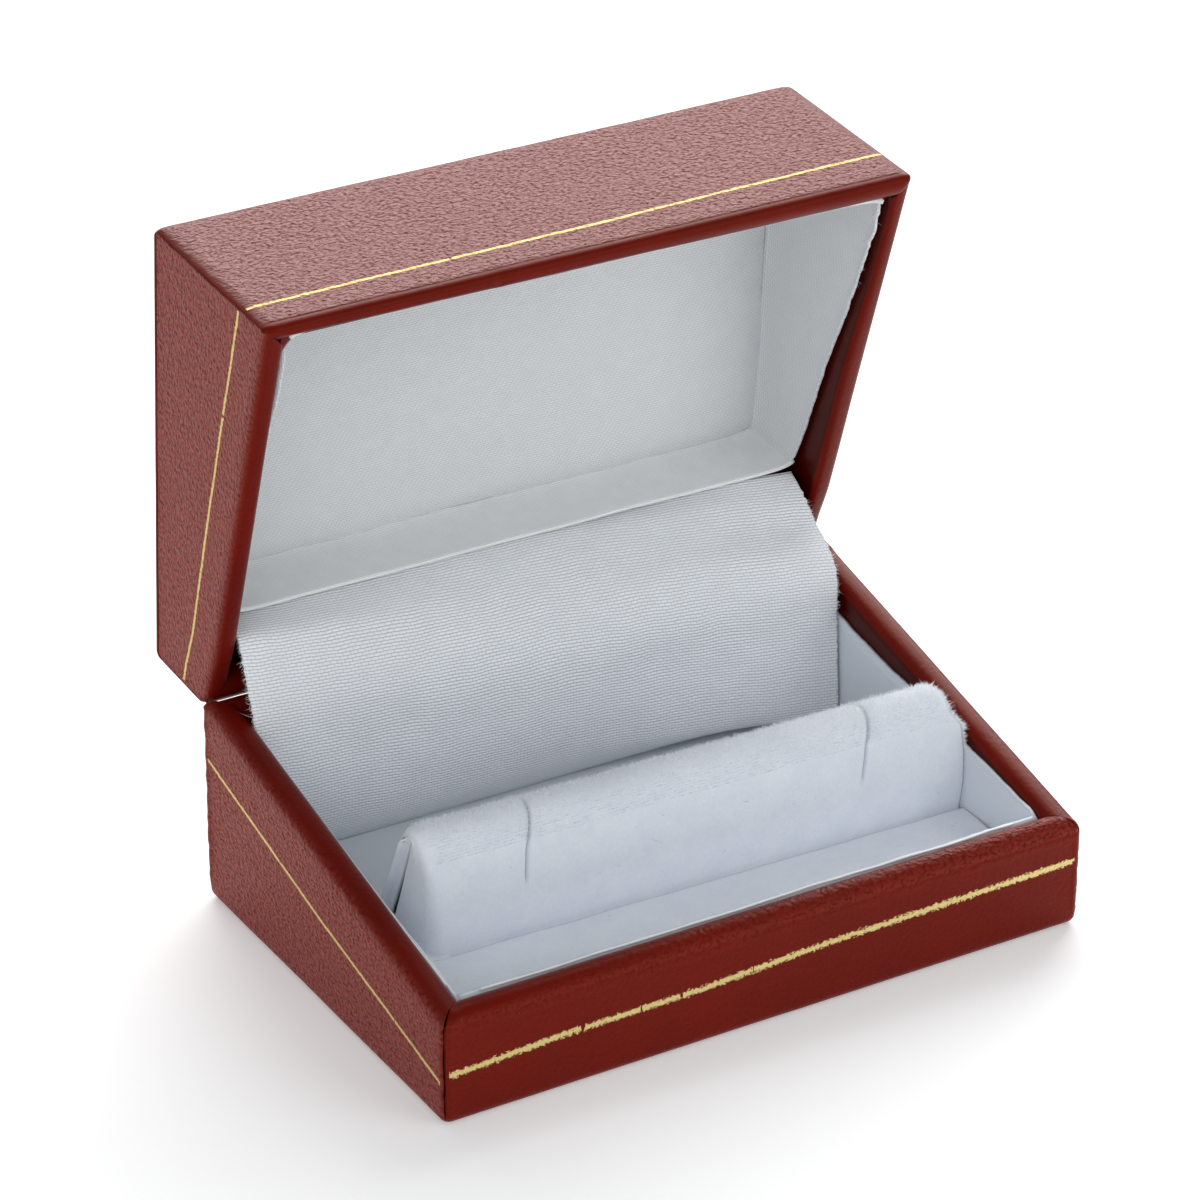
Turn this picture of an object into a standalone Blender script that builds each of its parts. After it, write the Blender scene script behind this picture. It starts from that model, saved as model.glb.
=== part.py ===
"""Small hinged jewellery box: a wedge-fronted base, a deep lid and a velvet ridge insert.

Frame: metres, +Z up, +X to the box's right, the hinge along the back (+Y).
The origin is the centre of the base's underside. The lid is modelled in its closed place
and swung open about the hinge pin by an empty on the pin's axis.
"""
import math

import bmesh
import bpy
from mathutils import Matrix, Vector

MM = 0.001

# Driving dimensions of the closed box
WIDTH = 80.0 * MM
DEPTH = 53.4 * MM
CLOSED_HEIGHT = 39.0 * MM
BASE_FRONT_HEIGHT = 13.1 * MM
BASE_BACK_HEIGHT = 25.4 * MM
LID_FRONT_HEIGHT = 25.6 * MM
LID_BACK_HEIGHT = 12.4 * MM

# Hinge pin axis and how far the lid stands open at rest
HINGE_Y = 25.37 * MM
HINGE_Z = 25.48 * MM
OPEN_ANGLE = math.radians(86.0)

# Wall build-up, measured inwards from the outer face
GAP = 0.3 * MM
WRAP = 0.45 * MM
SHELL_OUTER = WRAP + GAP
SHELL_WALL = 1.1 * MM
SHELL_INNER = SHELL_OUTER + SHELL_WALL
RIM_WIDTH = SHELL_INNER + GAP + WRAP
TURN_IN_DROP = 2.6 * MM
CARD = 0.4 * MM
CARD_OUTER = RIM_WIDTH + GAP
CARD_INNER = CARD_OUTER + CARD

# Underside and raised tray floor
COVER = 0.4 * MM
COVER_INSET = 0.5 * MM
WRAP_FOOT = COVER + GAP
SHELL_FLOOR_TOP = WRAP_FOOT + SHELL_WALL
RISER_THICKNESS = 3.1 * MM
FLOOR_CARD = 0.5 * MM
FLOOR_BACK_Y = 21.3 * MM

# Wall cards of the tray
SIDE_CARD_BACK_Y = 22.0 * MM
SIDE_CARD_FRONT_TOP = 13.2 * MM
SIDE_CARD_BACK_TOP = 20.6 * MM
FRONT_CARD_TOP = 12.6 * MM

# Lining of the lid, in the closed place
PAD_FOAM = 0.6 * MM
PAD_SATIN = 0.3 * MM
LID_BACK_LINING_Y = 16.1 * MM
LID_LINING_FRONT_EDGE = 14.9 * MM
LID_LINING_BACK_EDGE = 28.2 * MM

# Velvet ridge insert
SHELF_TOP = 7.5 * MM
INSERT_FOOT = 6.4 * MM
INSERT_HALF_WIDTH = 36.0 * MM
INSERT_FRONT_Y = -22.3 * MM
CREASE_Y = -8.4 * MM
RIDGE_TOP = 20.9 * MM
RIDGE_LEFT_END = -31.0 * MM
RIDGE_FOOT_DEPTH = 13.0 * MM
# the ridge's front leg bows a little: back from the crease (mm), up from the shelf (mm)
RIDGE_FRONT_BENDS = ((-0.1, 3.5), (0.35, 7.0), (1.45, 10.0))
CROWN_RADIUS = 1.9 * MM
CROWN_SETBACK = 4.3 * MM
CROWN_START = 145
CROWN_END = 28
LIP_BEVEL = 0.5 * MM
CUT_SPARE = 2.0 * MM
END_CUT_BACK_Y = 10.0 * MM
END_CUT_TOP = 30.0 * MM
END_CUT_SETBACK = 0.1 * MM
SLIT_FRONT_REACH = 3.0 * MM
SLIT_BACK_REACH = 6.2 * MM
INSERT_YAW = math.radians(-1.4)
INSERT_PIVOT = Vector((2.5 * MM, CREASE_Y, 0.0))
VELVET = 0.4 * MM
INSERT_BOARD = 0.5 * MM
SLIT_CENTRES = (-17.3 * MM, 25.0 * MM)
SLIT_WIDTH = 0.6 * MM
SLIT_BOTTOM = 13.0 * MM

# Spring hinge
LEAF = 0.35 * MM
LEAF_HALF_LENGTH = 20.0 * MM
LEAF_DEPTH_Y = 24.3 * MM
LEAF_REACH = 10.5 * MM
LEAF_CLEAR = 1.4 * MM
KNUCKLE_SPLIT = 11.9 * MM
KNUCKLE_GAP = 0.3 * MM
PIN_RADIUS = 0.4 * MM
BORE_RADIUS = 0.45 * MM
NOTCH_MARGIN = 0.6 * MM
NOTCH_HALF_HEIGHT = 2.0 * MM
NOTCH_HALF_DEPTH = 3.0 * MM
NOTCH_EXTRA = 1.5 * MM
RIVET_X = 15.0 * MM
RIVET_OFFSET = 7.0 * MM
RIVET_SHANK_RADIUS = 0.6 * MM
RIVET_HEAD_RADIUS = 1.3 * MM
RIVET_HOLE_RADIUS = 0.7 * MM
RIVET_NECK = 0.4 * MM
RIVET_HEAD_FRONT = 0.6 * MM
RIVET_HEAD_BACK = 0.15 * MM
HOLE_START = 2.0 * MM
HOLE_END = 0.2 * MM
KNUCKLE_ROOT = 0.6 * MM
SPRING = 0.3 * MM
SPRING_HALF_WIDTH = 7.0 * MM
SPRING_FOOT_INSET = 0.8 * MM
# the spring's bends: set back from its foot (mm), height under the pin (mm)
SPRING_BENDS = ((0.0, 9.5), (0.0, 6.0), (0.6, 3.5), (0.3, 1.4))
SPRING_TIP = (1.4 * MM, 0.2 * MM)

# Satin flap over the hinge, as its middle line from lid to tray at rest (y, z)
FLAP_THICKNESS = 0.35 * MM
FLAP_HALF_WIDTH = 36.2 * MM
FLAP_ROUTE = (
    (30.0, 34.2), (27.6, 34.0), (23.9, 31.8), (20.2, 28.8), (17.8, 25.0),
    (17.0, 20.0), (17.2, 14.5), (18.9, 10.0), (21.3, 7.4), (22.1, 5.6), (22.2, 2.6),
)

HALF_W = WIDTH / 2
HALF_D = DEPTH / 2
ARC_STEPS = 6
ROUND_STEPS = 24
BASE_SLOPE = (BASE_BACK_HEIGHT - BASE_FRONT_HEIGHT) / DEPTH
LID_RIM_FRONT = CLOSED_HEIGHT - LID_FRONT_HEIGHT
LID_SLOPE = (LID_FRONT_HEIGHT - LID_BACK_HEIGHT) / DEPTH


# ---------------------------------------------------------------- materials

def make_material(name, colour, roughness, metallic=0.0):
    """One plain Principled material."""
    material = bpy.data.materials.new(name)
    material.use_nodes = True
    shader = material.node_tree.nodes["Principled BSDF"]
    shader.inputs["Base Color"].default_value = (*colour, 1.0)
    shader.inputs["Roughness"].default_value = roughness
    shader.inputs["Metallic"].default_value = metallic
    return material


LEATHERETTE = (0.23, 0.022, 0.016)
SATIN_WHITE = (0.78, 0.80, 0.80)
CARD_WHITE = (0.72, 0.76, 0.80)


def leatherette(node):
    """Deep red grained covering."""
    return make_material(node + "_leatherette", LEATHERETTE, 0.45)


def shell_plastic(node):
    """Black moulded plastic under the covering."""
    return make_material(node + "_plastic", (0.03, 0.03, 0.03), 0.5)


def white_card(node):
    """Smooth coated lining card."""
    return make_material(node + "_card", CARD_WHITE, 0.6)


def grey_board(node):
    """Rough grey packing board."""
    return make_material(node + "_board", (0.32, 0.30, 0.28), 0.9)


def white_satin(node):
    """Woven satin lining."""
    return make_material(node + "_satin", SATIN_WHITE, 0.4)


def white_velvet(node):
    """Short flocked pile."""
    return make_material(node + "_velvet", (0.80, 0.82, 0.85), 0.95)


def foam(node):
    """Soft white foam sheet."""
    return make_material(node + "_foam", (0.85, 0.84, 0.78), 0.9)


def steel(node):
    """Nickel-plated spring steel."""
    return make_material(node + "_steel", (0.55, 0.55, 0.54), 0.3, 1.0)


# ---------------------------------------------------------------- mesh helpers

def clear_scene():
    """Start from nothing."""
    for item in list(bpy.data.objects):
        bpy.data.objects.remove(item, do_unlink=True)


def place(name, vertices, faces, finish, hinge=None):
    """Add one closed solid. With a hinge empty, the points are in the lid's closed place."""
    if hinge is not None:
        pin = Vector((0.0, HINGE_Y, HINGE_Z))
        vertices = [Vector(v) - pin for v in vertices]
    mesh = bpy.data.meshes.new(name)
    mesh.from_pydata([tuple(v) for v in vertices], [], faces)
    work = bmesh.new()
    work.from_mesh(mesh)
    bmesh.ops.recalc_face_normals(work, faces=work.faces)
    work.to_mesh(mesh)
    work.free()
    mesh.materials.append(finish(name))
    item = bpy.data.objects.new(name, mesh)
    bpy.context.scene.collection.objects.link(item)
    if hinge is not None:
        item.parent = hinge
    return item


def box(name, low, high, finish, hinge=None):
    """A plain rectangular board."""
    corners = [(x, y, z) for x in (low[0], high[0]) for y in (low[1], high[1]) for z in (low[2], high[2])]
    faces = [(0, 1, 3, 2), (4, 6, 7, 5), (0, 4, 5, 1), (2, 3, 7, 6), (0, 2, 6, 4), (1, 5, 7, 3)]
    return place(name, corners, faces, finish, hinge)


def side_board(name, x_low, x_high, outline, finish, hinge=None):
    """A board that stands across X, cut to an outline of (y, z) points."""
    count = len(outline)
    vertices = [(x_low, y, z) for y, z in outline] + [(x_high, y, z) for y, z in outline]
    faces = [tuple(range(count)), tuple(range(2 * count - 1, count - 1, -1))]
    for i in range(count):
        j = (i + 1) % count
        faces.append((i, count + i, count + j, j))
    return place(name, vertices, faces, finish, hinge)


def sheet_faces(count):
    """Faces of a bent sheet given as four rows of points: outer and inner, at each end."""
    outer_a, inner_a, outer_b, inner_b = (range(k * count, (k + 1) * count) for k in range(4))
    last = count - 1
    faces = [(outer_a[0], outer_b[0], inner_b[0], inner_a[0])]
    faces.append((outer_a[last], inner_a[last], inner_b[last], outer_b[last]))
    for i in range(last):
        faces.append((outer_a[i], outer_a[i + 1], outer_b[i + 1], outer_b[i]))
        faces.append((inner_a[i], inner_b[i], inner_b[i + 1], inner_a[i + 1]))
        faces.append((outer_a[i], inner_a[i], inner_a[i + 1], outer_a[i + 1]))
        faces.append((outer_b[i], outer_b[i + 1], inner_b[i + 1], inner_b[i]))
    return faces


def offset_route(route, distance):
    """The same route moved to its left by a distance, with mitred corners."""
    moved = []
    for i, point in enumerate(route):
        normals = []
        for a, b in ((i - 1, i), (i, i + 1)):
            if a >= 0 and b < len(route):
                along = (Vector(route[b]) - Vector(route[a])).normalized()
                normals.append(Vector((-along.y, along.x)))
        middle = sum(normals, Vector((0.0, 0.0))).normalized()
        moved.append(Vector(point) + middle * distance / middle.dot(normals[0]))
    return moved


def bent_sheet(name, outer, inner, x_low, x_high, finish, hinge=None):
    """A sheet bent in the YZ plane and running straight across X."""
    rows = []
    for x in (x_low, x_high):
        rows += [(x, p[0], p[1]) for p in outer]
        rows += [(x, p[0], p[1]) for p in inner]
    return place(name, rows, sheet_faces(len(outer)), finish, hinge)


def arc(centre, radius, start, end, steps):
    """Points on an arc, with angles in degrees from +Y (first axis) towards +Z (second)."""
    points = []
    for i in range(steps + 1):
        angle = math.radians(start + (end - start) * i / steps)
        points.append((centre[0] + radius * math.cos(angle), centre[1] + radius * math.sin(angle)))
    return points


def rod(name, radius, start, end, finish, hinge=None):
    """A round rod between two points along X or Y."""
    axis = Vector(end) - Vector(start)
    turn = axis.to_track_quat("Z", "Y").to_matrix().to_4x4()
    move = Matrix.Translation((Vector(start) + Vector(end)) / 2)
    work = bmesh.new()
    bmesh.ops.create_cone(
        work, cap_ends=True, segments=ROUND_STEPS, radius1=radius, radius2=radius,
        depth=axis.length, matrix=move @ turn,
    )
    vertices = [v.co.copy() for v in work.verts]
    faces = [tuple(v.index for v in f.verts) for f in work.faces]
    work.free()
    item = place(name, vertices, faces, finish, hinge)
    item.data.shade_smooth()
    item.data.set_sharp_from_angle(angle=math.radians(40))
    return item


def combine(item, other, operation):
    """Cut or join one object by another, which then stays as a hidden tool."""
    other.hide_render = True
    other.display_type = "WIRE"
    modifier = item.modifiers.new(operation.lower(), "BOOLEAN")
    modifier.operation = operation
    modifier.solver = "EXACT"
    modifier.object = other


# ---------------------------------------------------------------- covered walls

def rim_height(y, lid):
    """Height of the rim's line at a depth y: the base's, or the closed lid's."""
    if lid:
        return LID_RIM_FRONT + (y + HALF_D) * LID_SLOPE
    return BASE_FRONT_HEIGHT + (y + HALF_D) * BASE_SLOPE


def rim_roll():
    """Outer and inner rows (depth in from the face, drop from the rim) of the turned edge."""
    middle = RIM_WIDTH / 2
    outer = []
    inner = []
    for i in range(2 * ARC_STEPS + 1):
        angle = math.pi - math.pi * i / (2 * ARC_STEPS)
        outer.append((middle + middle * math.cos(angle), middle - middle * math.sin(angle)))
        reach = middle - WRAP
        inner.append((middle + reach * math.cos(angle), middle - reach * math.sin(angle)))
    outer.append((RIM_WIDTH, TURN_IN_DROP))
    inner.append((RIM_WIDTH - WRAP, TURN_IN_DROP))
    return outer, inner


def wall_point(side, depth_in, along, drop, foot, lid):
    """One point of a covered wall; along is -1 or 1 for the mitred ends."""
    cut = depth_in + GAP / 2
    if side in ("left", "right"):
        sign = -1 if side == "left" else 1
        x = sign * (HALF_W - depth_in)
        y = along * (HALF_D - cut)
    else:
        sign = -1 if side == "front" else 1
        x = along * (HALF_W - cut)
        y = sign * (HALF_D - depth_in)
    if foot is not None:
        return (x, y, foot)
    return (x, y, rim_height(y, lid) + (drop if lid else -drop))


def covered_wall(name, side, foot_outer, foot_inner, lid, hinge=None):
    """One side's covering: up the outer face, round the rim and down inside it."""
    outer, inner = rim_roll()
    rows = []
    for along in (-1, 1):
        rows.append(wall_point(side, 0.0, along, 0.0, foot_outer, lid))
        rows += [wall_point(side, n, along, drop, None, lid) for n, drop in outer]
        rows.append(wall_point(side, WRAP, along, 0.0, foot_inner, lid))
        rows += [wall_point(side, n, along, drop, None, lid) for n, drop in inner]
    return place(name, rows, sheet_faces(len(outer) + 1), leatherette, hinge)


def make_base_wraps():
    """Four separate strips of covering, mitred at the corners."""
    for side in ("front", "left", "right"):
        covered_wall("base_%s_wrap" % side, side, WRAP_FOOT, WRAP_FOOT, False)
    back = covered_wall("base_back_wrap", "back", WRAP_FOOT, WRAP_FOOT, False)
    combine(back, hinge_notch("base_notch"), "DIFFERENCE")


def make_lid_side_wraps(hinge):
    """Side strips of the lid, mitred to the long strip over the top."""
    top_outer = CLOSED_HEIGHT - GAP / 2
    top_inner = top_outer - WRAP
    for side in ("left", "right"):
        covered_wall("lid_%s_wrap" % side, side, top_outer, top_inner, True, hinge)


def make_lid_top_wrap(hinge):
    """One long strip: front rim, front wall, top panel, back wall and back rim."""
    outer, inner = rim_roll()
    rows = []
    for along in (-1, 1):
        for row, corner in ((outer, 0.0), (inner, WRAP)):
            front = [wall_point("front", n, along, drop, None, True) for n, drop in row]
            back = [wall_point("back", n, along, drop, None, True) for n, drop in row]
            top = [(along * (HALF_W - corner - GAP / 2), sign * (HALF_D - corner), CLOSED_HEIGHT - corner)
                   for sign in (-1, 1)]
            rows += front[::-1] + top + back
    strip = place("lid_top_wrap", rows, sheet_faces(2 * len(outer) + 2), leatherette, hinge)
    combine(strip, hinge_notch("lid_notch", hinge), "DIFFERENCE")


def hinge_notch(name, hinge=None):
    """Cutter that clears the turned rims around the hinge's knuckles."""
    reach_x = LEAF_HALF_LENGTH + NOTCH_MARGIN
    near_y, far_y = HINGE_Y - NOTCH_HALF_DEPTH, HINGE_Y + NOTCH_HALF_DEPTH
    low = (-reach_x, near_y, HINGE_Z - NOTCH_HALF_HEIGHT)
    high = (reach_x, far_y, HINGE_Z + NOTCH_HALF_HEIGHT + NOTCH_EXTRA)
    if hinge is None:
        low = (-reach_x, near_y, HINGE_Z - NOTCH_HALF_HEIGHT - NOTCH_EXTRA)
        high = (reach_x, far_y, HINGE_Z + NOTCH_HALF_HEIGHT)
    return box(name, low, high, leatherette, hinge)


# ---------------------------------------------------------------- shells

def tray(name, lid, closed_z, floor_z, finish, hinge=None):
    """A moulded open tray with sloping rims: a closed face, four walls and a cavity."""
    vertices = []
    rings = ((SHELL_OUTER, closed_z), (SHELL_OUTER, None), (SHELL_INNER, None), (SHELL_INNER, floor_z))
    for inset, level in rings:
        for sx, sy in ((-1, -1), (1, -1), (1, 1), (-1, 1)):
            y = sy * (HALF_D - inset)
            rim = rim_height(y, lid) + (SHELL_OUTER if lid else -SHELL_OUTER)
            vertices.append((sx * (HALF_W - inset), y, rim if level is None else level))
    faces = [(3, 2, 1, 0), (12, 13, 14, 15)]
    for ring in range(3):
        for i in range(4):
            j = (i + 1) % 4
            a = ring * 4
            faces.append((a + i, a + j, a + 4 + j, a + 4 + i))
    return place(name, vertices, faces, finish, hinge)


def make_shells(hinge):
    """The two moulded shells, each drilled for its hinge rivets."""
    base = tray("base_shell", False, WRAP_FOOT, SHELL_FLOOR_TOP, shell_plastic)
    lid_top = CLOSED_HEIGHT - SHELL_OUTER
    lid = tray("lid_shell", True, lid_top, lid_top - SHELL_WALL, shell_plastic, hinge)
    drill_rivet_holes(base, -1, None)
    drill_rivet_holes(lid, 1, hinge)


# ---------------------------------------------------------------- base lining

def make_base_bottom():
    """Thin cover glued under the base; its lower face is what the box stands on."""
    reach_x = HALF_W - COVER_INSET
    reach_y = HALF_D - COVER_INSET
    box("base_bottom_cover", (-reach_x, -reach_y, 0.0), (reach_x, reach_y, COVER), leatherette)


def make_floor():
    """Packing board and the smooth card that lies on it."""
    reach_x = HALF_W - CARD_INNER - GAP
    front_y = -HALF_D + CARD_INNER + GAP
    riser_low = SHELL_FLOOR_TOP + GAP
    riser_high = riser_low + RISER_THICKNESS
    box("floor_riser_board", (-reach_x, front_y, riser_low), (reach_x, FLOOR_BACK_Y, riser_high), grey_board)
    card_low = riser_high + GAP
    card_high = card_low + FLOOR_CARD
    box("floor_card", (-reach_x, front_y, card_low), (reach_x, FLOOR_BACK_Y, card_high), white_card)


def make_base_cards():
    """Lining cards of the tray's left, right and front walls."""
    foot = SHELL_FLOOR_TOP + GAP
    front_y = -HALF_D + CARD_OUTER
    outline = (
        (front_y, foot), (SIDE_CARD_BACK_Y, foot),
        (SIDE_CARD_BACK_Y, SIDE_CARD_BACK_TOP), (front_y, SIDE_CARD_FRONT_TOP),
    )
    outer_x = HALF_W - CARD_OUTER
    inner_x = HALF_W - CARD_INNER
    side_board("base_left_card", -outer_x, -inner_x, outline, white_card)
    side_board("base_right_card", inner_x, outer_x, outline, white_card)
    reach_x = inner_x - GAP
    box("base_front_card", (-reach_x, front_y, foot), (reach_x, front_y + CARD, FRONT_CARD_TOP), white_card)


# ---------------------------------------------------------------- ridge insert

def insert_route():
    """Outer line of the insert from its front lip, along the shelf and over the ridge (y, z)."""
    crown = (CREASE_Y + CROWN_SETBACK, RIDGE_TOP - CROWN_RADIUS)
    route = [(INSERT_FRONT_Y, INSERT_FOOT), (INSERT_FRONT_Y, SHELF_TOP - LIP_BEVEL)]
    route.append((INSERT_FRONT_Y + LIP_BEVEL, SHELF_TOP))
    route.append((CREASE_Y, SHELF_TOP))
    route += [(CREASE_Y + back * MM, SHELF_TOP + up * MM) for back, up in RIDGE_FRONT_BENDS]
    route += arc(crown, CROWN_RADIUS, CROWN_START, CROWN_END, ARC_STEPS)
    route.append((CREASE_Y + RIDGE_FOOT_DEPTH, INSERT_FOOT))
    return route


def insert_layer(name, depth, thickness, finish):
    """One bent layer of the insert, cut away left of the ridge and slit twice."""
    outer = offset_route(insert_route(), -depth)
    inner = offset_route(insert_route(), -depth - thickness)
    for row in (outer, inner):
        row[0].y = INSERT_FOOT
        row[-1] = slide_to_height(row[-2], row[-1], INSERT_FOOT)
    layer = bent_sheet(name, outer, inner, -INSERT_HALF_WIDTH, INSERT_HALF_WIDTH, finish)
    low = (-INSERT_HALF_WIDTH - CUT_SPARE, CREASE_Y + END_CUT_SETBACK, 0.0)
    high = (RIDGE_LEFT_END, END_CUT_BACK_Y, END_CUT_TOP)
    combine(layer, box(name + "_end_cut", low, high, finish), "DIFFERENCE")
    for i, x in enumerate(SLIT_CENTRES):
        low = (x - SLIT_WIDTH / 2, CREASE_Y - SLIT_FRONT_REACH, SLIT_BOTTOM)
        high = (x + SLIT_WIDTH / 2, CREASE_Y + SLIT_BACK_REACH, RIDGE_TOP + CUT_SPARE)
        combine(layer, box("%s_slit_%d" % (name, i + 1), low, high, finish), "DIFFERENCE")
    return layer


def slide_to_height(before, end, height):
    """Move a line's end point along the line to a given height."""
    before = Vector(before)
    along = Vector(end) - before
    return before + along * (height - before.y) / along.y


def make_insert():
    """Folded board and its velvet skin, lying slightly askew in the tray."""
    yaw = Matrix.Rotation(INSERT_YAW, 4, "Z")
    turn = Matrix.Translation(INSERT_PIVOT) @ yaw @ Matrix.Translation(-INSERT_PIVOT)
    layers = [insert_layer("insert_velvet", 0.0, VELVET, white_velvet)]
    layers.append(insert_layer("insert_board", VELVET + GAP, INSERT_BOARD, grey_board))
    for layer in layers:
        layer.matrix_world = turn
        for modifier in layer.modifiers:
            modifier.object.matrix_world = turn


# ---------------------------------------------------------------- lid lining

def make_lid_pad(hinge):
    """Foam under the lid's top panel and the satin that faces it."""
    reach_x = HALF_W - CARD_OUTER
    front_y = -HALF_D + CARD_OUTER
    back_y = LID_BACK_LINING_Y + CARD
    foam_high = CLOSED_HEIGHT - SHELL_INNER - GAP
    foam_low = foam_high - PAD_FOAM
    satin_high = foam_low - GAP
    satin_low = satin_high - PAD_SATIN
    box("lid_foam_pad", (-reach_x, front_y, foam_low), (reach_x, back_y, foam_high), foam, hinge)
    box("lid_satin_panel", (-reach_x, front_y, satin_low), (reach_x, back_y, satin_high), white_satin, hinge)
    return satin_low - GAP


def make_lid_linings(hinge):
    """Satin-faced cards round the inside of the lid; the back one hides the hinge."""
    top = make_lid_pad(hinge)
    front_y = -HALF_D + CARD_OUTER
    back_y = LID_BACK_LINING_Y + CARD
    outline = (
        (front_y, LID_LINING_FRONT_EDGE), (back_y, LID_LINING_BACK_EDGE), (back_y, top), (front_y, top),
    )
    outer_x = HALF_W - CARD_OUTER
    inner_x = HALF_W - CARD_INNER
    side_board("lid_left_lining", -outer_x, -inner_x, outline, white_satin, hinge)
    side_board("lid_right_lining", inner_x, outer_x, outline, white_satin, hinge)
    reach_x = inner_x - GAP
    low = (-reach_x, front_y, LID_LINING_FRONT_EDGE)
    box("lid_front_lining", low, (reach_x, front_y + CARD, top), white_satin, hinge)
    low = (-reach_x, LID_BACK_LINING_Y, LID_LINING_BACK_EDGE)
    box("lid_back_lining", low, (reach_x, back_y, top), white_satin, hinge)


# ---------------------------------------------------------------- hinge

def leaf_route(direction):
    """Middle line of a leaf from its far edge to the knuckle; direction -1 down, 1 up."""
    middle = (BORE_RADIUS + BORE_RADIUS + LEAF) / 2
    route = [
        (LEAF_DEPTH_Y, HINGE_Z + direction * LEAF_REACH),
        (LEAF_DEPTH_Y, HINGE_Z + direction * LEAF_CLEAR),
    ]
    curl = arc((HINGE_Y, HINGE_Z), middle, 180, 180 + direction * 285, 4 * ARC_STEPS)
    return route, curl


def leaf_plate(name, direction, hinge):
    """The flat part of a leaf."""
    route, _ = leaf_route(direction)
    half = LEAF / 2
    outer = [(y - half, z) for y, z in route]
    inner = [(y + half, z) for y, z in route]
    return bent_sheet(name, outer, inner, -LEAF_HALF_LENGTH, LEAF_HALF_LENGTH, steel, hinge)


def knuckle(name, direction, x_low, x_high, hinge):
    """A tongue of the leaf rolled round the pin."""
    route, curl = leaf_route(direction)
    start = (route[1][0], route[1][1] + direction * KNUCKLE_ROOT)
    path = [start, route[1]] + curl
    outer = offset_route(path, LEAF / 2)
    inner = offset_route(path, -LEAF / 2)
    return bent_sheet(name, outer, inner, x_low, x_high, steel, hinge)


def rivet_height(direction):
    """Height of a leaf's rivets in the closed place."""
    return HINGE_Z + direction * RIVET_OFFSET


def drill_rivet_holes(item, direction, hinge):
    """Clearance holes for a leaf's two rivets."""
    z = rivet_height(direction)
    for sign in (-1, 1):
        name = "%s_hole_%s" % (item.name, "left" if sign < 0 else "right")
        start = (sign * RIVET_X, LEAF_DEPTH_Y - HOLE_START, z)
        end = (sign * RIVET_X, HALF_D - SHELL_OUTER - HOLE_END, z)
        combine(item, rod(name, RIVET_HOLE_RADIUS, start, end, steel, hinge), "DIFFERENCE")


def make_leaf(name, direction, spans, hinge):
    """A stamped leaf with its rolled knuckles and rivet holes."""
    plate = leaf_plate(name, direction, hinge)
    for i, (x_low, x_high) in enumerate(spans):
        combine(plate, knuckle("%s_knuckle_%d" % (name, i + 1), direction, x_low, x_high, hinge), "UNION")
    drill_rivet_holes(plate, direction, hinge)


def make_rivets(prefix, direction, hinge):
    """Two headed rivets that pin a leaf to its shell."""
    z = rivet_height(direction)
    face_y = LEAF_DEPTH_Y - LEAF / 2
    for sign, word in ((-1, "left"), (1, "right")):
        x = sign * RIVET_X
        end_y = HALF_D - SHELL_OUTER - 2 * GAP
        name = "%s_rivet_%s" % (prefix, word)
        neck = (x, face_y - RIVET_NECK, z)
        head_front = (x, face_y - RIVET_HEAD_FRONT, z)
        head_back = (x, face_y - RIVET_HEAD_BACK, z)
        shank = rod(name, RIVET_SHANK_RADIUS, neck, (x, end_y, z), steel, hinge)
        head = rod(name + "_head", RIVET_HEAD_RADIUS, head_front, head_back, steel, hinge)
        combine(shank, head, "UNION")


def make_pin():
    """The hinge pin through all three knuckles."""
    reach = LEAF_HALF_LENGTH + GAP
    rod("hinge_pin", PIN_RADIUS, (-reach, HINGE_Y, HINGE_Z), (reach, HINGE_Y, HINGE_Z), steel)


def make_spring():
    """Flat snap spring that bears on the lid's knuckle."""
    foot_y = LEAF_DEPTH_Y - SPRING_FOOT_INSET
    route = [(foot_y - back * MM, HINGE_Z - below * MM) for back, below in SPRING_BENDS]
    route.append((HINGE_Y - SPRING_TIP[0], HINGE_Z - SPRING_TIP[1]))
    outer = offset_route(route, SPRING / 2)
    inner = offset_route(route, -SPRING / 2)
    bent_sheet("snap_spring", outer, inner, -SPRING_HALF_WIDTH, SPRING_HALF_WIDTH, steel)


def make_hinge(hinge):
    """Two leaves, the pin, the snap spring and four rivets."""
    inner_x = KNUCKLE_SPLIT
    outer_x = KNUCKLE_SPLIT + KNUCKLE_GAP
    make_leaf("hinge_base_leaf", -1, ((-LEAF_HALF_LENGTH, -outer_x), (outer_x, LEAF_HALF_LENGTH)), None)
    make_leaf("hinge_lid_leaf", 1, ((-inner_x, inner_x),), hinge)
    make_rivets("base", -1, None)
    make_rivets("lid", 1, hinge)
    make_pin()
    make_spring()


def make_flap():
    """Satin flap from behind the lid's back lining down into the tray."""
    route = [(y * MM, z * MM) for y, z in FLAP_ROUTE]
    outer = offset_route(route, FLAP_THICKNESS / 2)
    inner = offset_route(route, -FLAP_THICKNESS / 2)
    bent_sheet("satin_flap", outer, inner, -FLAP_HALF_WIDTH, FLAP_HALF_WIDTH, white_satin)


def make_lid_axis():
    """Empty on the pin's axis that carries every lid piece, swung open."""
    axis = bpy.data.objects.new("lid_axis", None)
    bpy.context.scene.collection.objects.link(axis)
    axis.location = (0.0, HINGE_Y, HINGE_Z)
    axis.rotation_euler = (-OPEN_ANGLE, 0.0, 0.0)
    return axis


def main():
    """Build the whole box."""
    clear_scene()
    hinge = make_lid_axis()
    bpy.context.view_layer.update()
    make_base_wraps()
    make_base_bottom()
    make_shells(hinge)
    make_floor()
    make_base_cards()
    make_insert()
    make_lid_top_wrap(hinge)
    make_lid_side_wraps(hinge)
    make_lid_linings(hinge)
    make_hinge(hinge)
    make_flap()
    bpy.context.view_layer.update()


main()
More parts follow.
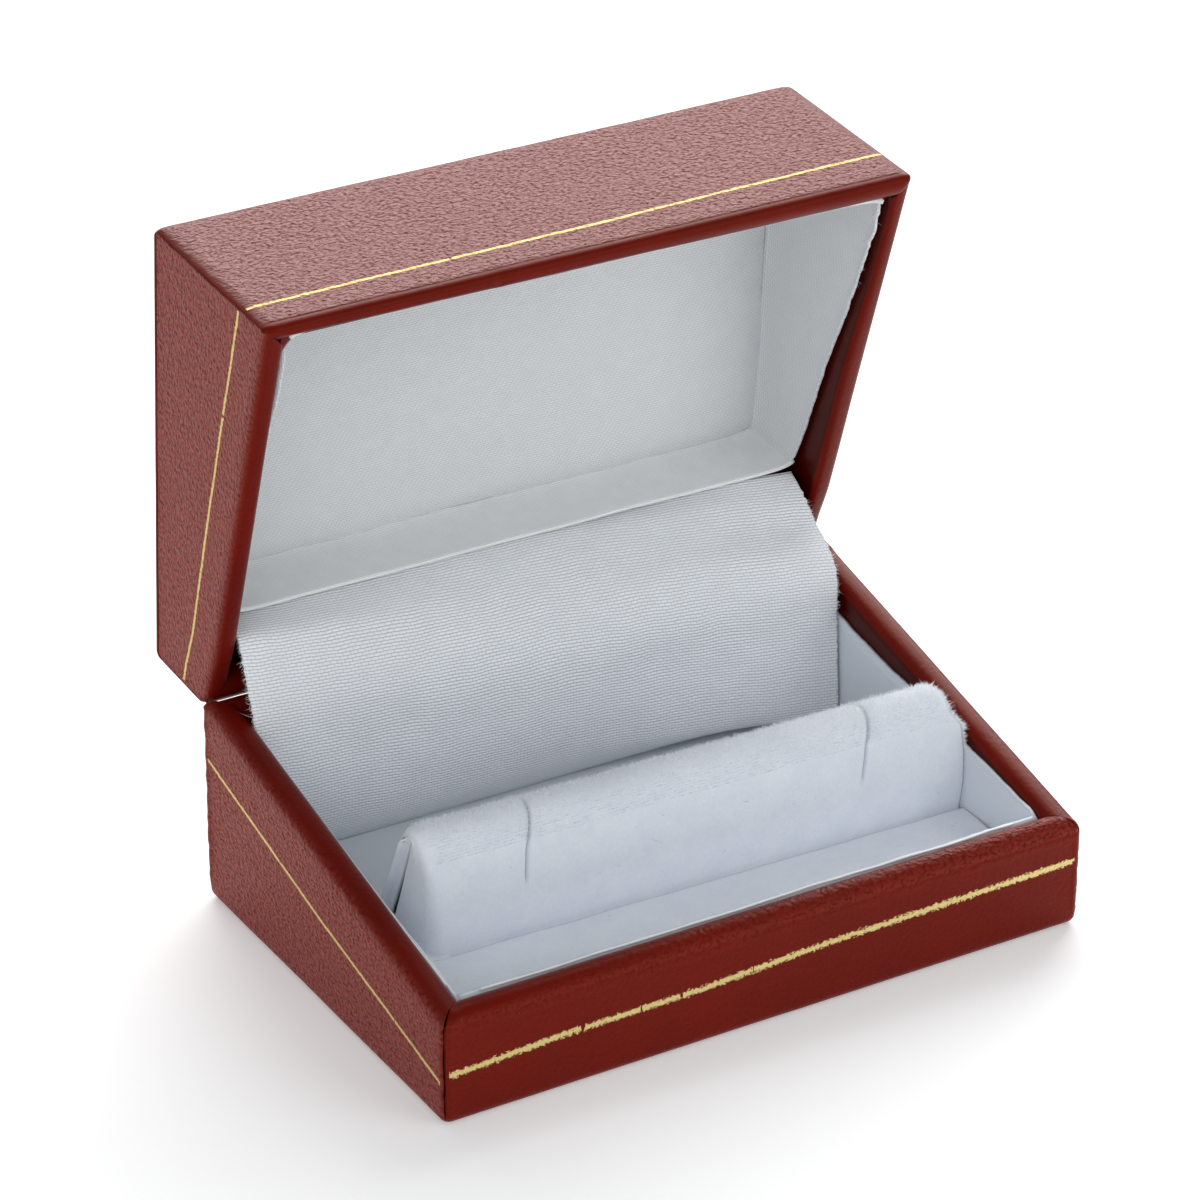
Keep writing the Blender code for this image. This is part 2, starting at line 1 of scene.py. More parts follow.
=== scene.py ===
"""Looks of the small hinged jewellery box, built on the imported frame. Lengths below are in millimetres."""
import math

import bpy
import numpy as np
from mathutils import Matrix, Vector, noise


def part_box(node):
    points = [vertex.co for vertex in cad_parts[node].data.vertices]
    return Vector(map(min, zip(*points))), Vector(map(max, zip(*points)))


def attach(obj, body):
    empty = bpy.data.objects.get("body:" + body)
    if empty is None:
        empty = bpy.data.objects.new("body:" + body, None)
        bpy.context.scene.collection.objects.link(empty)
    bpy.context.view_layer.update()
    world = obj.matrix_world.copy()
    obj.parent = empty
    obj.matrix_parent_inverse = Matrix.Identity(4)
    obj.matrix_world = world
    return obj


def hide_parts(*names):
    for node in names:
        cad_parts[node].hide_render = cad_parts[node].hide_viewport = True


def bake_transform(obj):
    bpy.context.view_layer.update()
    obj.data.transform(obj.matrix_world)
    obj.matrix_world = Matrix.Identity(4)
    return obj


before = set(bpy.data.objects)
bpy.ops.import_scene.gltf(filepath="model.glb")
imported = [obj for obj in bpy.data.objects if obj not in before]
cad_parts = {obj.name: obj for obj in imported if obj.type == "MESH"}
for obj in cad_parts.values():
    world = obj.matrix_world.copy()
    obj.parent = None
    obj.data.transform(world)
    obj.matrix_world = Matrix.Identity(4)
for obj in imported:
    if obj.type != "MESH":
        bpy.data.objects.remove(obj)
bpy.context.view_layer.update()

MM = 0.001
OPEN = math.radians(86.0)


def corners(node):
    """Lowest and highest corner of a CAD node in millimetres."""
    low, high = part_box(node)
    return np.array(low) / MM, np.array(high) / MM


pin_low, pin_high = corners("hinge_pin")
PIN_Y, PIN_Z = (pin_low[1] + pin_high[1]) / 2, (pin_low[2] + pin_high[2]) / 2
HALF_W = corners("base_right_wrap")[1][0]
HALF_D = -corners("base_front_wrap")[0][1]
TOP = 39.0
RIM = 2.6
BASE_FRONT, BASE_BACK = corners("base_front_wrap")[1][2] - 0.72, corners("base_back_wrap")[1][2]
LID_FRONT, LID_BACK = 13.4, 26.6
BACK_ROOM = 0.55  # how far the lid's back rim stays clear of the base's when open
NO_GOLD = 50.0  # a distance that keeps a leather surface free of the gold line
LINING_INSET = 3.3
HINGE_HALF = 20.6  # half the width of the gap the coverings leave for the hinge
FLAP_LENGTH, FLAP_HALF = 41.0, 36.2
RNG = np.random.default_rng(7)


def open_lid(points):
    """Closed-place points of the lid swung about the pin to where it stands at rest."""
    p = np.array(points, float)
    dy, dz = p[..., 1] - PIN_Y, p[..., 2] - PIN_Z
    p[..., 1] = PIN_Y + dy * math.cos(OPEN) + dz * math.sin(OPEN)
    p[..., 2] = PIN_Z - dy * math.sin(OPEN) + dz * math.cos(OPEN)
    return p


def lid_turn():
    """The same swing as a matrix in metres."""
    pin = Vector((0.0, PIN_Y * MM, PIN_Z * MM))
    return Matrix.Translation(pin) @ Matrix.Rotation(-OPEN, 4, "X") @ Matrix.Translation(-pin)


def wobble(p, size, seed=0.0):
    """Smooth noise in -1..1 at each point."""
    flat = np.asarray(p, float).reshape(-1, 3)
    out = np.array([noise.noise(Vector(q / size) + Vector((seed, seed * 1.7, -seed))) for q in flat])
    return out.reshape(np.asarray(p).shape[:-1])


def share(value):
    """A value held between 0 and 1."""
    return np.clip(value, 0, 1)


def stacked(*parts):
    """Coordinates, broadcast to one shape, as the last axis of one array."""
    return np.stack(np.broadcast_arrays(*parts), -1)


def add_object(name, data):
    item = bpy.data.objects.new(name, data)
    bpy.context.scene.collection.objects.link(item)
    return item


def column(count):
    """Even steps from 0 to 1 down the rows of a grid."""
    return np.linspace(0, 1, count)[:, None]


def unit(rows):
    return rows / np.linalg.norm(rows, axis=1)[:, None]


# ---- node materials

class Nodes:
    """A short way to write a shader graph."""

    def __init__(self, name):
        self.material = bpy.data.materials.new(name)
        self.material.use_nodes = True
        self.tree = self.material.node_tree
        self.shader = self.tree.nodes["Principled BSDF"]

    def put(self, socket, value):
        if isinstance(value, bpy.types.NodeSocket):
            self.tree.links.new(value, socket)
        else:
            socket.default_value = value

    def node(self, kind, out=0, settings=None, **inputs):
        n = self.tree.nodes.new(kind)
        for k, v in (settings or {}).items():
            setattr(n, k, v)
        for k, v in inputs.items():
            self.put(n.inputs[int(k[1:])] if k[0] == "i" and k[1:].isdigit() else n.inputs[k.replace("_", " ")], v)
        return n.outputs[out]

    def math(self, op, a, b=0.0, c=0.0):
        return self.node("ShaderNodeMath", settings={"operation": op}, i0=a, i1=b, i2=c)

    def times(self, a, b):
        return self.math("MULTIPLY", a, b)

    def plus(self, a, b):
        return self.math("ADD", a, b)

    def minus(self, a, b):
        return self.math("SUBTRACT", a, b)

    def vmath(self, op, a, b):
        return self.node("ShaderNodeVectorMath", settings={"operation": op}, i0=a, i1=b)

    def scaled(self, vector, factors):
        return self.vmath("MULTIPLY", vector, factors)

    def attribute(self, name, out=2):
        return self.node("ShaderNodeAttribute", out, {"attribute_name": name})

    def uv(self):
        return self.node("ShaderNodeUVMap", settings={"uv_map": "UVMap"})

    def place(self):
        """Object coordinates in millimetres."""
        return self.scaled(self.node("ShaderNodeTexCoord", "Object"), (1000.0, 1000.0, 1000.0))

    def noise(self, vector, scale, detail=3.0, rough=0.5, out=0):
        return self.node("ShaderNodeTexNoise", out, Vector=vector, Scale=scale, Detail=detail, Roughness=rough)

    def voronoi(self, vector, scale, feature="F1", out=0):
        return self.node("ShaderNodeTexVoronoi", out, {"feature": feature}, Vector=vector, Scale=scale)

    def ramp(self, value, low, high, start=0.0, end=1.0):
        return self.node("ShaderNodeMapRange", settings={"interpolation_type": "SMOOTHSTEP"},
                         i0=value, i1=low, i2=high, i3=start, i4=end)

    def mix(self, factor, a, b, mode="MIX"):
        n = self.tree.nodes.new("ShaderNodeMix")
        n.data_type = "RGBA"
        n.blend_type = mode
        for socket, value in ((n.inputs[0], factor), (n.inputs[6], a), (n.inputs[7], b)):
            self.put(socket, value)
        return n.outputs[2]

    def bump(self, height, distance, strength=1.0, normal=None):
        n = self.tree.nodes.new("ShaderNodeBump")
        for k, v in (("Height", height), ("Distance", distance * MM), ("Strength", strength), ("Normal", normal)):
            if v is not None:
                self.put(n.inputs[k], v)
        return n.outputs[0]

    def set(self, **values):
        for k, v in values.items():
            self.put(self.shader.inputs[k.replace("_", " ")], v)
        return self.material


def rgb(r, g, b):
    return (r, g, b, 1.0)


def leather_material(name, grain_sheen_and_dust, deep=(0.138, 0.0040, 0.0010), gold_width=0.0, object_axes=None, ragged=1.3):
    """Deep red leatherette: pebble grain that fades on the stretched rims, foil line where asked; the grain tops carry
    painted sheen and the turned-in strip painted shade.
    """
    m = Nodes(name)
    position = m.place()
    if object_axes is None:
        flat = m.uv()
        smooth = m.attribute("smooth")
    else:
        flat = m.scaled(position, object_axes)
        smooth = 0.0
    bend = m.noise(flat, 1.1, 2.0, out=1)
    flat2 = m.vmath("ADD", flat, m.scaled(bend, (0.6, 0.6, 0.0)))
    cells = m.voronoi(flat2, 1.7, "SMOOTH_F1")
    fine = m.noise(m.scaled(flat2, (0.8, 1.25, 1.0)), 2.4, 1.5, 0.5)
    pebble = m.plus(m.times(m.ramp(cells, 0.05, 0.7, 1.0, 0.0), 0.40), m.times(fine, 0.9))
    amount = m.math("MAXIMUM", m.minus(1.0, smooth), 0.0)
    some = m.plus(m.times(amount, 0.96), 0.04)
    skin = m.noise(flat, 5.0, 2.0)
    height = m.plus(m.times(pebble, some), m.times(skin, 0.012))
    tone = m.noise(position, 0.08, 3.0)
    plain = m.mix(m.ramp(tone, 0.3, 0.7), rgb(*deep), rgb(*(c * 0.84 for c in deep)))
    # grain colour: darker pits, lighter pinkish tops; the lighter tops are painted sheen
    sheen_lit_grain = m.mix(m.ramp(fine, 0.30, 0.60), rgb(grain_sheen_and_dust[0] * 0.45, grain_sheen_and_dust[1] * 0.15, grain_sheen_and_dust[2] * 0.12), rgb(*grain_sheen_and_dust))
    red = m.mix(amount, plain, sheen_lit_grain)
    # painted shade: where smooth is above 1.05 (the turned-in strip) the colour is darkened
    inner = m.ramp(smooth, 1.05, 1.3, 1.0, 0.42)
    red = m.scaled(red, m.node("ShaderNodeCombineXYZ", i0=inner, i1=inner, i2=inner))
    specks = m.ramp(m.voronoi(flat, 0.55), 0.055, 0.03)
    chosen = m.ramp(m.noise(flat, 0.9, 0.0), 0.62, 0.66)
    red = m.mix(m.times(m.times(specks, chosen), 0.5), red, rgb(0.35, 0.12, 0.11))
    rough = m.plus(m.times(m.noise(flat, 1.2, 2.0), 0.12), m.times(amount, 0.12))
    rough = m.plus(rough, 0.30)
    normal = m.bump(height, 0.36, 1.0)
    colour = red
    metallic = 0.0
    if gold_width:
        away = m.math("ABSOLUTE", m.attribute("gold"))
        tear = m.minus(m.noise(flat, 2.4, 5.0, 0.75), 0.5)
        edge = m.plus(away, m.times(tear, gold_width * ragged))
        foil = m.ramp(edge, gold_width * 0.5 + 0.03, gold_width * 0.5 - 0.03)
        gone = m.ramp(m.noise(m.scaled(flat, (1.0, 0.25, 1.0)), 0.9, 4.0), 0.675, 0.685, 1.0, 0.0)
        foil = m.times(foil, gone)
        gold = m.mix(m.noise(flat, 3.0, 2.0), rgb(0.60, 0.46, 0.15), rgb(0.86, 0.74, 0.34))
        colour = m.mix(foil, red, gold)
        metallic = m.times(foil, 0.45)
        rough = m.plus(m.times(rough, m.minus(1.0, foil)), m.times(foil, 0.38))
    m.set(IOR=1.26, Specular_Tint=rgb(1.0, 0.55, 0.35))
    return m.set(Base_Color=colour, Roughness=rough, Normal=normal, Metallic=metallic)


def satin_material(name, lit_float_colour, shaded_gap_colour, row=0.375, dash=0.8, stagger=0.4, depth=0.09, shine=0.5, gap=0.3, drift=1.2):
    """Woven satin from the sheet's own UV: floats laid in staggered rows, float tops in a lit colour and gaps in a
    shaded one (painted highlight and painted shade).
    """
    m = Nodes(name)
    flat = m.uv()
    sway = m.scaled(m.vmath("SUBTRACT", m.noise(flat, 0.16, 2.0, out=1), (0.5, 0.5, 0.5)), (drift, drift, 0.0))
    flat2 = m.vmath("ADD", flat, sway)
    split = m.tree.nodes.new("ShaderNodeSeparateXYZ")
    m.put(split.inputs[0], flat2)
    u, v = split.outputs[0], split.outputs[1]
    rows = m.math("DIVIDE", v, row)
    index = m.math("FLOOR", rows)
    across = m.minus(m.math("FRACT", rows), 0.5)
    shift = m.times(index, stagger)
    along = m.minus(m.math("FRACT", m.plus(m.math("DIVIDE", u, dash), shift)), 0.5)
    body = m.minus(1.0, m.times(m.times(across, across), 3.6))
    tip = m.ramp(m.math("ABSOLUTE", along), 0.5, 0.3)
    thread = m.times(body, m.plus(m.times(tip, gap), 1.0 - gap))
    uneven = m.noise(flat, 0.35, 3.0)
    # painted highlight on the float tops, painted shade in the gaps between them
    deep = m.mix(m.ramp(thread, 0.1, 0.85), shaded_gap_colour, lit_float_colour)
    deep = m.mix(m.ramp(uneven, 0.3, 0.7, 0.0, 0.10), deep, rgb(0.60, 0.62, 0.66))
    hair = m.noise(m.scaled(flat, (1.0, 6.0, 1.0)), 3.0, 2.0)
    height = m.plus(thread, m.times(hair, 0.15))
    rough = m.ramp(thread, 0.2, 0.9, 0.55, 0.55 - 0.3 * shine)
    m.set(Base_Color=deep, Roughness=rough, Normal=m.bump(height, depth))
    return m.set(Sheen_Weight=0.15, Sheen_Roughness=0.4)


def velvet_material(name):
    """Short white flock: soft mottling, tiny tufts with painted shade in their low spots, painted shade in hollows and
    a pale sheen.
    """
    m = Nodes(name)
    p = m.place()
    mottle = m.noise(p, 0.32, 4.0, 0.6)
    tuft = m.noise(p, 3.2, 3.0, 0.7)
    fine = m.noise(p, 9.0, 2.0, 0.6)
    white = m.mix(m.ramp(mottle, 0.3, 0.7), rgb(0.82, 0.86, 0.93), rgb(0.87, 0.90, 0.95))
    # painted shade: the low spots of the tufts turn blue-grey
    white = m.mix(m.ramp(tuft, 0.35, 0.75, 0.12, 0.0), white, rgb(0.50, 0.54, 0.62))
    # painted shade in the crease, the slits and down the end flap's foot, read from a vertex attribute
    white = m.mix(m.times(m.attribute("hollow_shade"), 0.6), white, rgb(0.30, 0.31, 0.36))
    lint = m.times(m.ramp(m.voronoi(p, 0.33), 0.035, 0.02), m.ramp(m.noise(p, 0.3, 0.0), 0.5, 0.55))
    white = m.mix(m.times(lint, 0.6), white, rgb(0.25, 0.24, 0.27))
    height = m.plus(m.times(tuft, 0.6), m.times(fine, 0.4))
    m.set(Base_Color=white, Roughness=0.95, Normal=m.bump(height, 0.14, 0.7))
    return m.set(Sheen_Weight=0.35, Sheen_Roughness=0.6)


def card_material(name, colour=(0.76, 0.80, 0.85), fleck=0.05):
    """Smooth coated card with faint fibres and darker flecks."""
    m = Nodes(name)
    p = m.place()
    cloud = m.noise(p, 0.12, 3.0)
    fibre = m.noise(m.scaled(p, (1.0, 1.0, 4.0)), 1.6, 3.0, 0.65)
    base = m.mix(m.ramp(cloud, 0.3, 0.7, 0.0, 0.10), rgb(*colour), rgb(*(c * 0.86 for c in colour)))
    base = m.mix(m.ramp(fibre, 0.6, 0.8, 0.0, fleck * 4), base, rgb(*(c * 0.7 for c in colour)))
    return m.set(Base_Color=base, Roughness=m.ramp(fibre, 0.3, 0.7, 0.5, 0.66), Normal=m.bump(fibre, 0.03, 0.6))


def board_material(name):
    """Rough grey packing board with pulp fibres."""
    m = Nodes(name)
    p = m.place()
    pulp = m.noise(p, 1.4, 5.0, 0.7)
    base = m.mix(m.ramp(pulp, 0.3, 0.7), rgb(0.30, 0.28, 0.25), rgb(0.40, 0.38, 0.35))
    return m.set(Base_Color=base, Roughness=0.9, Normal=m.bump(pulp, 0.08))


def plastic_material(name):
    """Black moulded plastic with a light flow texture."""
    m = Nodes(name)
    p = m.place()
    flow = m.noise(p, 0.5, 4.0, 0.6)
    base = m.mix(flow, rgb(0.018, 0.018, 0.019), rgb(0.032, 0.031, 0.03))
    return m.set(Base_Color=base, Roughness=m.ramp(flow, 0.3, 0.7, 0.35, 0.55), Normal=m.bump(flow, 0.03))


def steel_material(name):
    """Nickel-plated spring steel, brushed along the pin and lightly worn."""
    m = Nodes(name)
    p = m.place()
    brush = m.noise(m.scaled(p, (0.15, 5.0, 5.0)), 2.0, 3.0, 0.6)
    tarnish = m.noise(p, 0.25, 4.0)
    base = m.mix(m.ramp(tarnish, 0.4, 0.7), rgb(0.62, 0.61, 0.58), rgb(0.45, 0.43, 0.39))
    rough = m.ramp(brush, 0.3, 0.7, 0.22, 0.42)
    return m.set(Base_Color=base, Metallic=1.0, Roughness=rough, Normal=m.bump(brush, 0.01))


# ---- mesh helpers

def grid(name, points, uv, material, thickness=0.0, keep=None, attributes=None, side=-1.0):
    """A quad grid from rows of points in millimetres, thickened on its under side by a modifier."""
    rows, columns = points.shape[:2]
    index = np.arange(rows * columns).reshape(rows, columns)
    quads = stacked(index[:-1, :-1], index[:-1, 1:], index[1:, 1:], index[1:, :-1])
    if keep is not None:
        quads = quads[keep]
    quads = quads.reshape(-1, 4)
    mesh = bpy.data.meshes.new(name)
    mesh.from_pydata((points.reshape(-1, 3) * MM).tolist(), [], quads.tolist())
    layer = mesh.uv_layers.new(name="UVMap")
    flat = uv.reshape(-1, 2)[quads.reshape(-1)]
    layer.data.foreach_set("uv", flat.astype(np.float32).reshape(-1))
    for key, values in (attributes or {}).items():
        item = mesh.attributes.new(key, "FLOAT", "POINT")
        item.data.foreach_set("value", np.asarray(values, np.float32).reshape(-1))
    mesh.materials.append(material)
    mesh.shade_smooth()
    piece = add_object(name, mesh)
    if thickness:
        solid = piece.modifiers.new("thickness", "SOLIDIFY")
        solid.thickness = thickness * MM
        solid.offset = side
        solid.use_even_offset = False
    return piece


def resample(route, step):
    """Points along a polyline at an even step, smoothed by a Catmull curve."""
    p = np.array(route, float)
    fine = []
    ext = np.vstack([2 * p[0] - p[1], p, 2 * p[-1] - p[-2]])
    for i in range(len(p) - 1):
        a, b, c, d = ext[i:i + 4]
        for t in np.linspace(0, 1, 24, endpoint=False):
            fine.append(0.5 * (2 * b + (c - a) * t + (2 * a - 5 * b + 4 * c - d) * t ** 2
                               + (3 * b - 3 * c + d - a) * t ** 3))
    fine = np.array(fine + [p[-1]])
    length = np.concatenate([[0], np.cumsum(np.linalg.norm(np.diff(fine, axis=0), axis=1))])
    at = np.linspace(0, length[-1], max(2, int(round(length[-1] / step)) + 1))
    return np.stack([np.interp(at, length, fine[:, k]) for k in range(p.shape[1])], -1)


def spread(limit, step, ends=()):
    """Even positions from -limit to limit with extra ones close to the ends."""
    inner = np.linspace(-limit + 2.0, limit - 2.0, int(2 * limit / step))
    near = limit - np.array([0.0, 0.08, 0.18, 0.3, 0.45, 0.65, 0.9, 1.2, 1.6])
    return np.unique(np.round(np.concatenate([inner, near, -near, np.array(ends, float)]), 4))


def rim_curve(power, height, steps=14, width=RIM):
    """Rolled edge as (depth in, drop) pairs: a flattened half round."""
    middle = width / 2
    angle = np.linspace(math.pi, 0, steps)
    c, s = np.cos(angle), np.sin(angle)
    depth = middle + middle * np.sign(c) * np.abs(c) ** (2 / power)
    drop = height * (1 - np.abs(s) ** (2 / power))
    return depth, drop


def running(points):
    """Distance along the first axis of a grid of points."""
    d = np.linalg.norm(np.diff(points, axis=0), axis=-1)
    return np.concatenate([np.zeros((1,) + d.shape[1:]), np.cumsum(d, 0)], 0)


def slope(y, front, back):
    return front + (np.clip(y, -HALF_D, HALF_D) + HALF_D) * (back - front) / (2 * HALF_D)


def base_rim(y):
    return slope(y, BASE_FRONT, BASE_BACK)


def lid_rim(y):
    near_back = share((y - 18.0) / 7.0)
    return slope(y, LID_FRONT, LID_BACK) + BACK_ROOM * near_back * near_back * (3 - 2 * near_back)


def wall(name, side, lid, material, gold=None, corner=0.5, raised=0.0, power=2.6, height=1.0,
         turn_in=7.0, face_smooth=0.0, cut=None, seed=1.0, lumps=(), ridge=0.0, rim_smooth=0.96, narrow=None):
    """One side's covering: foot, outer face, rolled rim and the turned-in strip, mitred at both ends.

    Rows run from the foot over the rim and down inside; columns run along the wall."""
    reach = HALF_D if side in ("left", "right") else HALF_W
    far = TOP if lid else 0.45
    direction = -1 if lid else 1
    t = spread(1.0 * reach, 0.5, [] if cut is None else [-cut[0], cut[0]])
    depth_roll, drop_roll = rim_curve(power, height)
    rows = []
    # rows as (depth in, fraction from foot to rim start, drop below the rim or None)
    foot_radius = 0.7 if not lid else 0.4
    for a in np.linspace(0, 90, 6):
        k = math.radians(a)
        if lid and a < 45:
            continue
        rows.append((foot_radius * (1 - math.sin(k)), "foot", foot_radius * (1 - math.cos(k))))
    for f in np.linspace(0, 1, 26 if reach == HALF_D or lid else 24)[1:-1]:
        rows.append((0.0, "face", f))
    for d, q in zip(depth_roll, drop_roll):
        rows.append((d, "rim", q))
    for q in np.linspace(height, turn_in, 6)[1:]:
        rows.append((RIM, "rim", q))
    P = np.zeros((len(rows), len(t), 3))
    smooth = np.zeros(P.shape[:2])
    rimdist = np.zeros(P.shape[:2])
    for i, (d0, kind, q) in enumerate(rows):
        outer = max(0.0, 1.0 - d0 / (RIM * 0.6))
        r = np.where(t < 0, corner[0], corner[1]) * outer
        end = reach - d0 - 0.293 * r
        tt = t / reach * end
        q_over = np.clip(np.abs(tt) - (reach - d0 - r), 0, r)
        delta = r - np.sqrt(np.maximum(r * r - q_over ** 2, 0))
        from_end = end - np.abs(tt)
        tear = 1.0 + 0.9 * wobble(stacked(tt * 0 + q * 9, tt * 0 + i, np.sign(tt) * 3), 1.7, seed)
        calm = 0.0 if kind == "foot" else min(1.0, q * 12) if kind == "face" else 1.0
        lift = raised * calm * outer * np.exp(-(from_end / 0.3) ** 2) * tear
        if ridge and kind == "face" and q > 0.985 or ridge and kind == "rim" and d0 < 0.03:
            lift = lift + ridge
        d = d0 + delta - lift
        if narrow is not None:
            d = d * np.interp(tt, narrow[0], narrow[1])
        y = {"left": tt, "right": -tt}.get(side, np.full_like(tt, (-1 if side == "front" else 1) * (HALF_D - d0)))
        rim = lid_rim(y) if lid else base_rim(y)
        if kind == "foot":
            z = far + direction * q if not lid else far - q
        elif kind == "face":
            start = far + direction * foot_radius if not lid else far - foot_radius
            stop = rim - direction * height
            z = start + (stop - start) * q
        else:
            z = rim - direction * q
        P[i] = stacked(*{"left": (-HALF_W + d, tt), "right": (HALF_W - d, -tt),
                         "front": (-tt, -HALF_D + d), "back": (tt, HALF_D - d)}[side], z)
        rimdist[i] = direction * (rim - z) if kind != "rim" or d0 < 0.05 else 0.0
        edge = share(1 - from_end / 0.5) * 0.6
        near_rim = share(1 - (rimdist[i] - height) / 0.5) * 0.7
        along = np.interp(tt, (-reach, reach), rim_smooth) if isinstance(rim_smooth, tuple) else rim_smooth
        smooth[i] = np.maximum(np.maximum(edge, near_rim), face_smooth)
        if kind == "rim":
            # the +0.35 on the turned-in strip lifts smooth above 1.05, which the leather material uses for painted
            # shade
            smooth[i] = along * share(0.55 + d0 / 1.1) + 0.35 * (d0 > RIM - 0.1)
        if ridge and kind == "rim" and d0 < 0.12:
            smooth[i] = 0.85
    shake = wobble(P, 9.0, seed) * 0.05 + wobble(P, 2.5, seed) * 0.018
    out = np.array({"left": (-1, 0, 0), "right": (1, 0, 0), "front": (0, -1, 0), "back": (0, 1, 0)}[side], float)
    P = P + out * (shake * (1 - 0.5 * smooth))[..., None]
    for centre, radius, lift in lumps:
        near = np.exp(-(np.linalg.norm(P - np.array(centre), axis=-1) / radius) ** 2)
        near = near * (1.0 + 0.8 * wobble(P, 0.7, seed + 5))
        P = P + (out * 0.9 + np.array([0, 0, direction]) * 0.1) * (near * lift)[..., None]
    horizontal = P[..., 1] if side in ("left", "right") else P[..., 0]
    uv = stacked(horizontal, running(P))
    attributes = {"smooth": smooth}
    far_away = np.full(P.shape[:2], NO_GOLD)
    if gold is not None:
        line = np.interp(horizontal, gold[0], gold[1])
        far_away = rimdist - line
        far_away = np.where(np.abs(horizontal) > reach - 0.35, np.sign(far_away) * NO_GOLD, far_away)
    attributes["gold"] = far_away
    keep = None
    if cut is not None:
        mid = (P[:-1, :-1] + P[1:, 1:]) / 2
        inside = (np.abs(mid[..., 0]) < cut[0]) & (mid[..., 2] > cut[1]) & (mid[..., 2] < cut[2])
        keep = ~inside
    if lid:
        P = open_lid(P)
    piece = grid(name, P, uv, material, 0.4, keep, attributes)
    return piece


# ---- camera, light, floor

def make_stage():
    scene = bpy.context.scene
    camera = add_object("camera", bpy.data.cameras.new("camera"))
    camera.location = (-0.25321, -0.41418, 0.29781)
    forward = Vector((0.4528, 0.7575, -0.4702)).normalized()
    turn = forward.to_track_quat("-Z", "Y").to_matrix()
    camera.rotation_euler = (turn @ Matrix.Rotation(math.radians(0.30), 3, "Z")).to_euler()
    camera.data.lens = 152.25
    camera.data.sensor_width = 36.0
    camera.data.clip_start = 0.01
    scene.camera = camera
    scene.view_settings.view_transform = "Standard"
    floor_mesh = bpy.data.meshes.new("floor")
    size = 4.0
    sheet = [(-size, -size, 0), (size, -size, 0), (size, size, 0), (-size, size, 0)]
    floor_mesh.from_pydata(sheet, [], [(0, 1, 2, 3)])
    m = Nodes("floor_paper")
    tone = m.noise(m.place(), 0.01, 2.0)
    pale = m.mix(tone, rgb(0.93, 0.93, 0.93), rgb(0.95, 0.95, 0.95))
    paper = m.set(Base_Color=pale, Roughness=0.9, Emission_Color=rgb(1.0, 1.0, 1.0), Emission_Strength=0.24)
    floor_mesh.materials.append(paper)
    floor = add_object("floor", floor_mesh)
    world = bpy.data.worlds.new("studio")
    world.use_nodes = True
    sky = world.node_tree.nodes["Background"].inputs
    sky[0].default_value = (0.96, 0.98, 1.0, 1.0)
    sky[1].default_value = 0.35
    scene.world = world
    for name, place, target, size_x, size_y, power, colour in (
        ("light_top_back", (0.50, 0.80, 0.70), (0, 0, 0.03), 1.2, 1.0, 18.5, (1.0, 0.99, 0.98)),
        ("light_front_left", (-0.75, -0.75, 0.65), (0, 0, 0.04), 0.9, 0.9, 3.4, (0.95, 0.975, 1.0)),
        ("light_front_right", (0.6, -0.9, 0.55), (0, 0, 0.04), 0.8, 0.8, 3.1, (0.95, 0.975, 1.0)),
    ):
        data = bpy.data.lights.new(name, "AREA")
        data.shape = "RECTANGLE"
        data.size, data.size_y = size_x, size_y
        data.energy = power
        data.color = colour
        lamp = add_object(name, data)
        lamp.location = place
        lamp.rotation_euler = (Vector(target) - Vector(place)).to_track_quat("-Z", "Y").to_euler()


# ---- leatherette

def finish_piece(piece, body, slot, *nodes):
    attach(piece, body)
    if nodes:
        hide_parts(*nodes)
    return piece


def plain_leather(points, smooth):
    """Vertex values of leather that carries no gold line."""
    return {"smooth": np.full(points.shape[:2], smooth), "gold": np.full(points.shape[:2], NO_GOLD)}


def bead(name, route, radius, material, body, seed, slot="leatherette"):
    """A thin uneven welt along a seam or an edge."""
    line = resample(route, 0.35)
    way = unit(np.gradient(line, axis=0))
    across = unit(np.cross(way, (0.31, 0.57, 0.76)))
    third = np.cross(way, across)
    a = np.linspace(0, 2 * math.pi, 9)[None, :, None]
    size = radius * (1 + 0.35 * wobble(line, 0.9, seed) + 0.25 * wobble(line, 3.0, seed))[:, None, None]
    P = line[:, None] + (across[:, None] * np.cos(a) + third[:, None] * np.sin(a)) * size
    if body == "lid":
        P = open_lid(P)
    piece = grid(name, P, P[..., 1:], material, 0.0, None, plain_leather(P, 0.8))
    return finish_piece(piece, body, slot)


def make_seams(grained):
    """Welts where the coverings meet at the corners."""
    for i, (sx, sy, r) in enumerate(((-1, -1, 0.6), (1, -1, 0.5), (1, 1, 0.4), (-1, 1, 0.4))):
        x, y = sx * (HALF_W - 0.293 * r - 0.03), sy * (HALF_D - 0.293 * r - 0.03)
        top = base_rim(y) - 0.7
        bead("base_seam_%d" % (i + 1), [(x, y, 0.7), (x, y, top * 0.5), (x, y, top)], 0.22, grained, "base", 50.0 + i)
    for i, sx in enumerate((-1, 1)):
        x, near = sx * (HALF_W - 0.26), HALF_D - 0.3
        route = [(x, y, z) for y, z in (
            (-near, LID_FRONT + 0.5), (-near, 25.0), (-near, TOP - 2.0), (-near + 0.6, TOP - 0.9),
            (-near + 1.8, TOP - 0.35), (0.0, TOP - 0.3), (near - 1.8, TOP - 0.35), (near - 0.6, TOP - 0.9),
            (near, TOP - 2.0), (near, LID_BACK + 0.5))]
        bead("lid_seam_%d" % (i + 1), route, 0.15, grained, "lid", 60.0 + i)


def cover(body, side, material, gold, **settings):
    """One side's covering, standing for the CAD wrap of that side."""
    piece = wall("%s_%s_cover" % (body, side), side, body == "lid", material, gold, **settings)
    finish_piece(piece, body, "leatherette", "%s_%s_wrap" % (body, side))


